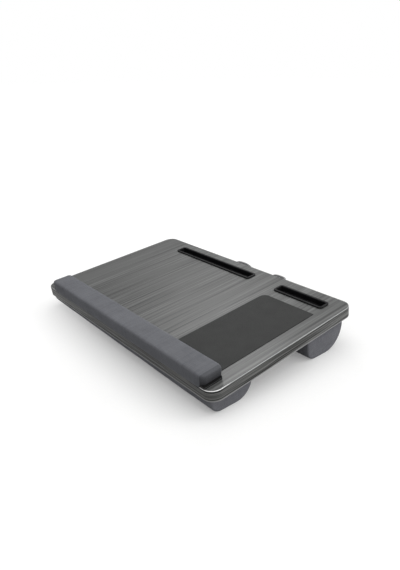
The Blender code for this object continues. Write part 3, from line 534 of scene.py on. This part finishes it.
def fabric_material(name, dark, light, pitch, streak=0.0, end_shade=1.0):
    """Plain weave of mixed yarns, with faint streaks across the padded piece.

    The cloth attribute holds lengths along the warp and the weft, and the share of painted shade on
    an end panel. A full share multiplies its colour by end_shade.
    """
    shade = new_shade(name)
    cloth = shade.node("Attribute", attribute_name="cloth").outputs["Vector"]
    warp = shade.math("DIVIDE", shade.part(cloth, 0), pitch)
    weft = shade.math("DIVIDE", shade.part(cloth, 1), pitch)
    cells = shade.math("ADD", shade.math("FLOOR", warp), shade.math("FLOOR", weft))
    over = shade.math("PINGPONG", cells, 1.0)

    def bulge(turns):
        """0 between two yarns and 1 on the middle of one."""
        return shade.math("ABSOLUTE", shade.math("SINE", shade.math("MULTIPLY", turns, math.pi)))

    across_warp, across_weft = bulge(warp), bulge(weft)
    warp_yarn = shade.math("MULTIPLY", shade.math("POWER", across_warp, 0.6), across_weft)
    weft_yarn = shade.math("MULTIPLY", shade.math("POWER", across_weft, 0.6), across_warp)
    height = shade.between(over, warp_yarn, weft_yarn)
    yarn_scale = 0.55 / pitch
    along_warp = shade.noise(shade.scaled(cloth, (1.0, 0.06, 1.0)), yarn_scale, 2.0, 0.6)
    along_weft = shade.noise(shade.scaled(cloth, (0.06, 1.0, 1.0)), yarn_scale, 2.0, 0.6)
    yarn = shade.between(over, along_warp, along_weft)
    wear_and_highlight = shade.noise(shade.place(), 18.0, 3.0, 0.6)
    drawn = shade.noise(shade.scaled(shade.place(), (1.0, 0.03, 0.03)), 170.0, 3.0, 0.6)
    share = shade.weighted((yarn, 0.75 - streak), (wear_and_highlight, 0.25), (drawn, streak))
    tone = shade.ramp(share, (0.34, dark), (0.66, light))
    # Painted shade in the gaps between the yarns
    tone = shade.blend(shade.math("MULTIPLY_ADD", height, -0.45, 0.38), tone, rgb(dark, 0.35))
    # Painted shade on the end panels of the rest
    ends = shade.math("MULTIPLY_ADD", shade.part(cloth, 2), end_shade - 1.0, 1.0)
    tone = shade.node("VectorMath", {0: tone, "Scale": ends}, operation="SCALE").outputs[0]
    fuzz = shade.noise(cloth, 3200.0, 2.0, 0.6)
    relief = shade.math("MULTIPLY_ADD", fuzz, 0.25, height)
    return shade.surface({
        "Base Color": tone, "Roughness": shade.math("MULTIPLY_ADD", yarn, 0.15, 0.80),
        "Normal": shade.bump(relief, pitch * 0.20, 0.7), "Specular IOR Level": 0.20,
        "Sheen Weight": 0.12, "Sheen Roughness": 0.45, "Sheen Tint": rgb(CLOTH_SHEEN)})


WOOD_GRAIN = grain_material()
EDGE_GRAIN = edge_material()
BARE_WOOD = bare_wood_material()
PANEL = hardboard_material()
PLINTH = plinth_material()
SLOT_PLASTIC = plastic_material("slot_plastic", SLOT_DARK, SLOT_LIGHT, 0.35, 0.16)
HANDLE_PLASTIC = plastic_material("handle_plastic", HANDLE_DARK, HANDLE_LIGHT, 0.29, 0.5)
PAD_LEATHER = leather_material()
STEEL = steel_material()
REST_FABRIC = fabric_material("rest_fabric", REST_DARK, REST_LIGHT, REST_PITCH, 0.25, 0.20)
CUSHION_FABRIC = fabric_material("cushion_fabric", CUSHION_DARK, CUSHION_LIGHT, CUSHION_PITCH)


# ---------------------------------------------------------------- shapes


def add_object(name, mesh, materials, body="desk"):
    """A visible piece from a mesh in the board's frame, which rides on one body."""
    made = bpy.data.objects.new(name, mesh)
    bpy.context.scene.collection.objects.link(made)
    for material in materials:
        made.data.materials.append(material)
    mesh.transform(DESK)
    bpy.context.view_layer.update()
    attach(made, body)
    return made


def finished_mesh(name, made):
    """The mesh of a bmesh, with its faces turned outward."""
    bmesh.ops.recalc_face_normals(made, faces=made.faces)
    mesh = bpy.data.meshes.new(name)
    made.to_mesh(mesh)
    made.free()
    return mesh


def shade_mesh(mesh, sharp=SHARP_HARD):
    """Smooth shading, apart from edges that turn by more than this angle."""
    mesh.polygons.foreach_set("use_smooth", [True] * len(mesh.polygons))
    mesh.set_sharp_from_angle(angle=math.radians(sharp))
    mesh.update()


def weigh_normals(made):
    modifier = made.modifiers.new("even_shading", "WEIGHTED_NORMAL")
    modifier.keep_sharp = True
    modifier.weight = 100


def outline(x0, x1, y0, y1, radii, steps):
    """Points of a rectangle, counter-clockwise from the front right corner, with its own radii."""
    corners = ((x1, y0, 1, -1, -90), (x1, y1, 1, 1, 0), (x0, y1, -1, 1, 90), (x0, y0, -1, -1, 180))
    points = []
    for (x, y, side, end, start), radius in zip(corners, radii):
        for step in range(steps + 1):
            angle = math.radians(start + 90 * step / steps)
            points.append((x - side * radius + radius * math.cos(angle),
                           y - end * radius + radius * math.sin(angle)))
    return points


def ring_mesh(name, rect, radii, profile, steps, caps=True):
    """(inset, height) pairs swept round a rounded rectangle. Without caps the profile is closed."""
    x0, x1, y0, y1 = rect
    made = bmesh.new()
    loops = []
    for inset, height in profile:
        shrunk = [max(radius - inset, SMALLEST_RADIUS) for radius in radii]
        points = outline(x0 + inset, x1 - inset, y0 + inset, y1 - inset, shrunk, steps)
        loops.append([made.verts.new((x, y, height)) for x, y in points])
    pairs = list(zip(loops, loops[1:]))
    if not caps:
        pairs.append((loops[-1], loops[0]))
    for low, high in pairs:
        for index, corner in enumerate(low):
            after = (index + 1) % len(low)
            made.faces.new((corner, low[after], high[after], high[index]))
    if caps:
        made.faces.new(list(reversed(loops[0])))
        made.faces.new(loops[-1])
    mesh = finished_mesh(name, made)
    shade_mesh(mesh)
    return mesh


def arc(centre_inset, centre_height, radius, start, end, steps):
    """(inset, height) pairs round a quarter; 0 degrees points outward and 90 up."""
    pairs = []
    for step in range(steps + 1):
        angle = math.radians(start + (end - start) * step / steps)
        pairs.append((centre_inset - radius * math.cos(angle),
                      centre_height + radius * math.sin(angle)))
    return pairs


def make_band():
    low_centre = SIDE_UNDER + BAND_LOW_ROUND
    profile = [(BAND_INNER, SIDE_UNDER)]
    profile += arc(BAND_LOW_ROUND, low_centre, BAND_LOW_ROUND, -90, 0, LOW_ROUND_STEPS)
    profile += arc(BAND_TOP_ROUND, -BAND_TOP_ROUND, BAND_TOP_ROUND, 0, 90, ROUND_STEPS)
    profile += [(BAND_INNER, -BAND_LIP)]
    mesh = ring_mesh(
        "edge_band_piece", (-HALF_X, HALF_X, -HALF_Y, HALF_Y), (CORNER,) * 4, profile,
        CORNER_STEPS, caps=False)
    flat = [face.index for face in mesh.polygons if face.normal.z > FLAT_ENOUGH]
    made = add_object("edge_band_piece", mesh, (EDGE_GRAIN, WOOD_GRAIN))
    for index in flat:
        mesh.polygons[index].material_index = 1
    weigh_normals(made)
    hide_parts("edge_band")


def make_slot(node, rect):
    """A trough from its underside, out under the rim, over the rim, and down to its floor."""
    inner = SLOT_FLANGE + SLOT_WALL
    ledge = inner + SLOT_LEDGE
    floor = SLOT_FLOOR - SLOT_DEPTH
    round_centre = RIM_HEIGHT - RIM_ROUND
    profile = [(SLOT_FLANGE, -SLOT_DEPTH), (SLOT_FLANGE, RIM_SEAT), (0.0, RIM_SEAT)]
    profile += arc(RIM_ROUND, round_centre, RIM_ROUND, 0, 90, ROUND_STEPS)
    profile += arc(inner - RIM_ROUND, round_centre, RIM_ROUND, 90, 180, ROUND_STEPS)
    profile += [(inner, -SLOT_LEDGE_DROP), (ledge, -SLOT_LEDGE_DROP - SLOT_LEDGE_SLOPE)]
    profile += [(ledge, floor + SLOT_CHAMFER), (ledge + SLOT_CHAMFER, floor)]
    mesh = ring_mesh(node + "_piece", rect, (RIM_CORNER,) * 4, profile, SLOT_CORNER_STEPS)
    made = add_object(node + "_piece", mesh, (SLOT_PLASTIC,))
    weigh_normals(made)
    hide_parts(node)


def make_pad():
    profile = [(0.0, PAD_LOW), (0.0, PAD_TOP - PAD_ROUND)]
    profile += arc(PAD_ROUND, PAD_TOP - PAD_ROUND, PAD_ROUND, 0, 90, PAD_ROUND_STEPS)[1:]
    mesh = ring_mesh("mouse_pad_piece", PAD, PAD_RADII, profile, PAD_CORNER_STEPS)
    made = add_object("mouse_pad_piece", mesh, (PAD_LEATHER,))
    weigh_normals(made)
    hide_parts("mouse_pad")


def rounded_section(corners):
    """Closed points of a polygon of (y, z, radius) corners, each corner rounded."""
    points = []
    count = len(corners)
    for index, (y, z, radius) in enumerate(corners):
        here = Vector((y, z))
        before = (Vector(corners[index - 1][:2]) - here).normalized()
        after = (Vector(corners[(index + 1) % count][:2]) - here).normalized()
        half = before.angle(after) / 2
        reach = radius / math.tan(half)
        centre = here + (before + after).normalized() * (radius / math.sin(half))
        start = here + before * reach - centre
        turn = -(math.pi - 2 * half) if before.cross(after) > 0 else math.pi - 2 * half
        for step in range(SECTION_STEPS + 1):
            angle = turn * step / SECTION_STEPS
            points.append(centre + Vector((
                start.x * math.cos(angle) - start.y * math.sin(angle),
                start.x * math.sin(angle) + start.y * math.cos(angle))))
    return points


def resampled(points, count):
    """Points at even steps along a closed line, and the line's length."""
    lengths = [0.0]
    for here, after in zip(points, points[1:] + points[:1]):
        lengths.append(lengths[-1] + (after - here).length)
    whole = lengths[-1]
    result = []
    index = 0
    for step in range(count):
        target = whole * step / count
        while lengths[index + 1] < target:
            index += 1
        span = lengths[index + 1] - lengths[index] or 1.0
        share = (target - lengths[index]) / span
        result.append(points[index].lerp(points[(index + 1) % len(points)], share))
    return result, whole


def padded_mesh(name, section_at, ends, end_round, around, along, seam=0.0):
    """A bolster along x. section_at(inset, x) gives the corners of its section, drawn in by inset.

    The seam is the depth of the sewn groove where the long panel turns into an end.
    """
    low_x, high_x = ends
    stations = []
    for step in range(END_STEPS + 1):
        angle = math.pi / 2 * step / END_STEPS
        groove = seam * math.exp(-((step - SEAM_STEP) / SEAM_WIDTH) ** 2)
        inset = (1 - math.cos(angle)) ** END_FULLNESS
        stations.append((end_round * (1 - math.sin(angle)), end_round * inset + groove))
    rows = [(low_x + out, inset) for out, inset in stations[::-1]]
    first, last = low_x + end_round, high_x - end_round
    rows += [(first + (last - first) * step / along, 0.0) for step in range(1, along)]
    rows += [(high_x - out, inset) for out, inset in stations]

    def painted_end_shade_share(point):
        """Share of painted shade: 0 on the long panel. On the end panels, from the seam on, it
        grows downwards.
        """
        near = min(point.x - low_x, high_x - point.x) / end_round
        depth = clamped((REST_HEIGHT - PANEL_TOP_DROP - point.z) / PANEL_SHADE_DEPTH)
        shade = PANEL_SHADE_LEAST + (1 - PANEL_SHADE_LEAST) * depth
        return clamped((PANEL_START - near) / PANEL_BLEND) * shade

    made = bmesh.new()
    lengths = made.loops.layers.float_vector.new("cloth")
    grid = []
    for x, inset in rows:
        section, _ = resampled(rounded_section(section_at(inset, x)), around)
        grid.append([made.verts.new((x, point.x, point.y)) for point in section])
    _, whole = resampled(rounded_section(section_at(0.0, 0.0)), around)
    for low, high in zip(grid, grid[1:]):
        for index in range(around):
            after = (index + 1) % around
            face = made.faces.new((low[index], high[index], high[after], low[after]))
            columns = (index, index, index + 1, index + 1)
            for loop, column in zip(face.loops, columns):
                point = loop.vert.co
                loop[lengths] = (point.x, whole * column / around, painted_end_shade_share(point))
    for row, side in ((grid[0], -1), (grid[-1], 1)):
        middle = sum((corner.co for corner in row), Vector()) / around
        rings = [row]
        for share in END_RINGS:
            rings.append([made.verts.new(middle.lerp(corner.co, share)) for corner in row])
        centre = made.verts.new(middle)
        faces = []
        for outer, inner in zip(rings, rings[1:]):
            for index in range(around):
                after = (index + 1) % around
                faces.append((outer[index], outer[after], inner[after], inner[index]))
        for index in range(around):
            faces.append((rings[-1][index], rings[-1][(index + 1) % around], centre))
        for corners in faces:
            face = made.faces.new(corners if side > 0 else corners[::-1])
            for loop in face.loops:
                point = loop.vert.co
                loop[lengths] = (point.y, point.z, painted_end_shade_share(point))
    return finished_mesh(name, made)


def pressed_out(mesh, voxel):
    """Where the points of an even remesh lie, and how cloth under pressure moves each of them."""
    scene = bpy.context.scene
    copy = bpy.data.objects.new("stuffing", mesh.copy())
    scene.collection.objects.link(copy)
    remesh = copy.modifiers.new("remesh", "REMESH")
    remesh.mode = "VOXEL"
    remesh.voxel_size = voxel
    bpy.context.view_layer.update()
    graph = bpy.context.evaluated_depsgraph_get()
    even = bpy.data.meshes.new_from_object(copy.evaluated_get(graph))
    copy.modifiers.clear()
    copy.data = even
    cloth = copy.modifiers.new("cloth", "CLOTH")
    cloth.settings.quality = CLOTH_QUALITY
    cloth.settings.mass = CLOTH_MASS
    cloth.settings.use_pressure = True
    cloth.settings.uniform_pressure_force = CLOTH_PRESSURE
    cloth.settings.effector_weights.gravity = 0.0
    cloth.collision_settings.use_collision = False
    before = [vertex.co.copy() for vertex in even.vertices]
    for step in range(1, CLOTH_FRAMES + 1):
        scene.frame_set(step)
    graph = bpy.context.evaluated_depsgraph_get()
    swollen = copy.evaluated_get(graph).data
    moves = [after.co - start for after, start in zip(swollen.vertices, before)]
    scene.frame_set(1)
    bpy.data.objects.remove(copy)
    return before, moves


def smoothed(mesh, values):
    """A value for each vertex, averaged with its neighbours' a few times."""
    for _ in range(SMOOTH_ROUNDS):
        near = [value.copy() for value in values]
        shares = [1] * len(near)
        for edge in mesh.edges:
            one, other = edge.vertices
            near[one] += values[other]
            near[other] += values[one]
            shares[one] += 1
            shares[other] += 1
        values = [value / share for value, share in zip(near, shares)]
    return values


def filled_out(mesh, voxel, cap, free):
    """Swells a mesh as filled cloth does, up to cap metres.

    free(point) is 0 where the cloth is fastened and 1 where it can move. Only the cloth's outward
    move counts, because it also draws in at the edges.
    """
    before, moves = pressed_out(mesh, voxel)
    tree = kdtree.KDTree(len(before))
    for index, start in enumerate(before):
        tree.insert(start, index)
    tree.balance()
    swelling = []
    for vertex in mesh.vertices:
        total, weight_sum = Vector((0.0, 0.0, 0.0)), 0.0
        for _, index, distance in tree.find_n(vertex.co, CLOTH_NEIGHBOURS):
            weight = math.exp(-(distance / voxel) ** 2 / 2) + LEAST_WEIGHT
            total += moves[index] * weight
            weight_sum += weight
        outward = max(0.0, min(cap, vertex.normal.dot(total / weight_sum)))
        swelling.append(vertex.normal * outward)
    for vertex, move in zip(mesh.vertices, smoothed(mesh, swelling)):
        vertex.co += move * free(vertex.co)


def ripple(point, scale):
    """Unevenness of a filling, from -1 to 1."""
    return noise.noise(Vector([value * along for value, along in zip(point, scale)]))


def floor_below(y):
    """Height of the floor in the board's frame, under a point y along it."""
    return -DESK_ORIGIN.z / math.cos(TILT) - y * math.tan(TILT)


def make_cushion(name, front, rear, front_round, rear_round, slump):
    """The slump is how much rounder the filling has left the front edge at the far left end."""
    def section_at(inset, x):
        inset += CUSHION_TUCK
        far = max(0.0, (CUSHION_HALF - x) / (2 * CUSHION_HALF)) ** SLUMP_POWER
        low_front = floor_below(front) + inset
        low_rear = floor_below(rear) + inset
        turn = front_round + slump * far - inset
        return ((front + inset, CUSHION_TOP, CUSHION_TOP_ROUND), (front + inset, low_front, turn),
                (rear - inset, low_rear, rear_round - inset),
                (rear - inset, CUSHION_TOP, CUSHION_TOP_ROUND))

    def free(point):
        return eased((CUSHION_TOP - point.z) / CUSHION_HELD)

    mesh = padded_mesh(
        name + "_piece", section_at, (-CUSHION_HALF, CUSHION_HALF), CUSHION_END_ROUND,
        CUSHION_AROUND, CUSHION_ALONG)
    filled_out(mesh, CUSHION_VOXEL, CUSHION_SWELL, free)
    upright = Vector(DESK.to_3x3()[2])
    for vertex in mesh.vertices:
        point = vertex.co
        uneven = ripple(point, CUSHION_RIPPLE_SCALE)
        vertex.co += vertex.normal * uneven * CUSHION_RIPPLE * free(point)
        vertex.co.z = min(vertex.co.z, CUSHION_TOP)
        height = upright.dot(vertex.co) + DESK_ORIGIN.z
        if height < FLOOR_GAP:
            vertex.co -= upright * (height - FLOOR_GAP)
    shade_mesh(mesh, SHARP_CLOTH)
    made = add_object(name + "_piece", mesh, (CUSHION_FABRIC,))
    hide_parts(name + "_cover", name + "_foam")


def make_rest():
    """The cover hangs over the plinth in front, and its lower end edges are drawn under."""
    high = REST_HEIGHT - REST_SWELL_ROOM
    front_face = REST_FRONT - REST_FRONT_SLACK

    def section_at(inset, x):
        front = REST_FRONT - REST_OVERHANG + inset
        rear = REST_REAR - REST_SWELL_ROOM - inset * REST_REAR_TAPER
        top = high - inset * (REST_TOP_TAPER[0] + REST_TOP_TAPER[1] * inset / REST_END_ROUND)
        return ((rear, top, REST_REAR_ROUND), (rear, REST_HEM, REST_LOW_ROUND),
                (front, REST_HEM, REST_LOW_ROUND), (front, top, REST_FRONT_ROUND))

    def free(point):
        return eased((point.z - PLINTH_TOP) / REST_HELD)

    mesh = padded_mesh(
        "wrist_rest_piece", section_at, (REST_LEFT, REST_RIGHT), REST_END_ROUND,
        REST_AROUND, REST_ALONG, REST_SEAM)
    filled_out(mesh, REST_VOXEL, REST_SWELL, free)
    for vertex in mesh.vertices:
        point = vertex.co
        uneven = ripple(point, REST_RIPPLE_SCALE)
        vertex.co += vertex.normal * uneven * REST_RIPPLE * free(point)
        vertex.co.z = max(vertex.co.z, PLINTH_TOP if vertex.co.y > front_face else REST_HEM)
    for vertex in mesh.vertices:
        point = vertex.co
        low_share = clamped((UNDERCUT_TOP - point.z) / UNDERCUT_HEIGHT)
        for edge, side in ((REST_LEFT, 1), (REST_RIGHT, -1)):
            near = clamped(UNDERCUT_REACH - (point.x - edge) * side / REST_END_ROUND)
            point.x += side * UNDERCUT * near * low_share ** UNDERCUT_POWER
    shade_mesh(mesh, SHARP_CLOTH)
    made = add_object("wrist_rest_piece", mesh, (REST_FABRIC,))
    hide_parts("wrist_rest_cover", "wrist_rest_foam")


def make_plinth():
    profile = [(PLINTH_INSET, PLINTH_LOW), (PLINTH_INSET, PLINTH_LINE - PLINTH_GROOVE),
               (PLINTH_INSET + PLINTH_GROOVE, PLINTH_LINE),
               (PLINTH_INSET, PLINTH_LINE + PLINTH_GROOVE), (PLINTH_INSET, PLINTH_TOP)]
    plinth = ring_mesh(
        "wrist_rest_plinth_piece", PLINTH_RECT, (PLINTH_CORNER,) * 4, profile,
        PLINTH_CORNER_STEPS)
    made = add_object("wrist_rest_plinth_piece", plinth, (PLINTH,))
    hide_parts("wrist_rest_base")


def make_handle():
    """A round bar between the two ears: arms, shoulders, and a grip that sags between them."""
    half = HANDLE_SPAN / 2
    arm = half - HANDLE_SIDE_GAP - HANDLE_RADIUS
    points = (
        (half + HANDLE_PIN, 0.0, 0.0), (half, 0.0, 0.0), (arm + HANDLE_CORNER / 4, 0.0, 0.0),
        (arm, HANDLE_CORNER, HANDLE_RISE / 2), (arm, HANDLE_REACH - HANDLE_CORNER, HANDLE_RISE),
        (arm - HANDLE_CORNER, HANDLE_REACH, HANDLE_RISE),
        (arm * SHOULDER_SHARE, HANDLE_REACH, HANDLE_RISE),
        (arm * GRIP_SHARE, HANDLE_REACH, -HANDLE_SAG), (0.0, HANDLE_REACH, -HANDLE_SAG))
    route = list(points) + [(-x, y, z) for x, y, z in points[-2::-1]]
    curve = bpy.data.curves.new("carry_handle_route", "CURVE")
    curve.dimensions = "3D"
    curve.resolution_u = 10
    curve.bevel_depth = HANDLE_RADIUS
    curve.bevel_resolution = 5
    curve.use_fill_caps = True
    spline = curve.splines.new("NURBS")
    spline.points.add(len(route) - 1)
    for point, (x, y, z) in zip(spline.points, route):
        point.co = (HANDLE_X + x, HANDLE_AXIS[0] + y, HANDLE_AXIS[1] + z, 1.0)
    spline.order_u = 3
    spline.use_endpoint_u = True
    drawn = bpy.data.objects.new("carry_handle_route", curve)
    bpy.context.scene.collection.objects.link(drawn)
    bpy.context.view_layer.update()
    graph = bpy.context.evaluated_depsgraph_get()
    mesh = bpy.data.meshes.new_from_object(drawn.evaluated_get(graph))
    bpy.data.objects.remove(drawn)
    mesh.materials.clear()
    shade_mesh(mesh, SHARP_HANDLE)
    made = add_object("carry_handle_piece", mesh, (HANDLE_PLASTIC,), body="handle")
    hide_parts("carry_handle")


def finish_node(name, material):
    """Gives a carried-over CAD node its material."""
    node = frame["nodes"][name]
    if not node.material_slots:
        node.data.materials.append(material)
    for place in node.material_slots:
        place.material = material


make_band()
for slot_node, slot_rect in SLOTS.items():
    make_slot(slot_node, slot_rect)
make_pad()
make_rest()
make_plinth()
for cushion_row in CUSHIONS:
    make_cushion(*cushion_row)
make_handle()

SLOT_MATERIALS = {
    "wood_grain": WOOD_GRAIN, "bare_wood": BARE_WOOD, "panel": PANEL,
    "handle_plastic": HANDLE_PLASTIC, "steel": STEEL,
}
for subpart in frame["record"]["subparts"]:
    if subpart["material_slot"] in SLOT_MATERIALS:
        finish_node(subpart["node"], SLOT_MATERIALS[subpart["material_slot"]])


# ---------------------------------------------------------------- floor, light and camera


def make_floor():
    """A pale floor with the desk's shadow, which turns white with the distance from it."""
    corners = [(x * FLOOR_HALF, y * FLOOR_HALF, 0) for x, y in ((-1, -1), (1, -1), (1, 1), (-1, 1))]
    mesh = bpy.data.meshes.new("floor")
    mesh.from_pydata(corners, [], [(0, 1, 2, 3)])
    floor = bpy.data.objects.new("floor", mesh)
    bpy.context.scene.collection.objects.link(floor)
    shade = new_shade("floor")
    place = shade.place()
    fade = shade.fade(shade.distance(place, FLOOR_MIDDLE), FLOOR_FADE)
    speck = shade.noise(place, 300.0, 2.0, 0.5)
    tone = shade.ramp(speck, (0.3, FLOOR_DARK), (0.7, FLOOR_LIGHT))
    path = shade.node("LightPath")
    shown = shade.blend(path.outputs["Is Diffuse Ray"], tone, rgb(FLOOR_BOUNCE))
    matt = shade.node("BsdfDiffuse", {"Color": shown, "Roughness": 0.5})
    white = shade.node("Emission", {"Color": rgb(WHITE), "Strength": FLOOR_WHITE})
    seen = shade.math("MAXIMUM", path.outputs["Is Camera Ray"], path.outputs["Is Glossy Ray"])
    seen = shade.math("MAXIMUM", seen, path.outputs["Is Transmission Ray"])
    share = shade.math("MULTIPLY_ADD", fade, 1 - FLOOR_LEAST_WHITE, FLOOR_LEAST_WHITE)
    share = shade.math("MULTIPLY", seen, share)
    mixed = shade.node("MixShader", {0: share, 1: matt.outputs[0], 2: white.outputs[0]})
    shade.node("OutputMaterial", {0: mixed.outputs[0]})
    floor.data.materials.append(shade.owner)


def make_world():
    """Soft light from all round, which the camera sees as plain white."""
    shade = Shade(bpy.data.worlds.new("studio"))
    toward = shade.node("TexCoord").outputs["Generated"]
    inputs = {0: toward, 1: WORLD_BRIGHT_SIDE}
    dot = shade.node("VectorMath", inputs, operation="DOT_PRODUCT").outputs["Value"]
    level = shade.math("MULTIPLY_ADD", dot, WORLD_RISE, WORLD_LEVEL)
    soft = shade.node("Background", {"Color": rgb(WHITE), "Strength": level})
    white = shade.node("Background", {"Color": rgb(WHITE), "Strength": 1.0})
    seen = shade.node("LightPath").outputs["Is Camera Ray"]
    mixed = shade.node("MixShader", {0: seen, 1: soft.outputs[0], 2: white.outputs[0]})
    shade.node("OutputWorld", {0: mixed.outputs[0]})
    bpy.context.scene.world = shade.owner


def add_lamp(name, position, target, size, watts):
    lamp = bpy.data.lights.new(name, "AREA")
    lamp.shape = "SQUARE"
    lamp.size = size
    lamp.energy = watts
    made = bpy.data.objects.new(name, lamp)
    bpy.context.scene.collection.objects.link(made)
    made.location = position
    made.rotation_euler = (Vector(target) - Vector(position)).to_track_quat("-Z", "Y").to_euler()


def make_camera():
    """The fitted view: azimuth, elevation and roll in the board's frame, then turned with it."""
    azimuth, elevation, roll = (math.radians(value) for value in (49.9269, 26.6793, -5.5084))
    distance, focal_pixels = 1.0859, 500.3119
    width, height, centre = 400, 570, (237.0694, 284.4343)
    target = Vector((0.0559, 0.0974, 0.0))
    back = Vector((math.sin(azimuth) * math.cos(elevation),
                   -math.cos(azimuth) * math.cos(elevation), math.sin(elevation)))
    level = Vector((math.cos(azimuth), math.sin(azimuth), 0.0))
    upright = back.cross(level)
    right = level * math.cos(roll) + upright * math.sin(roll)
    up = upright * math.cos(roll) - level * math.sin(roll)
    turn = DESK.to_3x3()
    eye = DESK @ (target + back * distance)
    columns = [turn @ axis for axis in (right, up, back)]
    data = bpy.data.cameras.new("camera")
    data.sensor_width = 36.0
    data.sensor_fit = "AUTO"
    data.lens = focal_pixels * data.sensor_width / height
    data.shift_x = (width / 2 - centre[0]) / height
    data.shift_y = (centre[1] - height / 2) / height
    data.clip_start = 0.05
    camera = bpy.data.objects.new("camera", data)
    bpy.context.scene.collection.objects.link(camera)
    camera.matrix_world = Matrix(
        [[*(column[row] for column in columns), eye[row]] for row in range(3)] + [[0, 0, 0, 1]])
    bpy.context.scene.camera = camera


make_floor()
make_world()
for lamp_row in LAMPS:
    add_lamp(*lamp_row)
make_camera()
bpy.context.scene.view_settings.view_transform = "Standard"
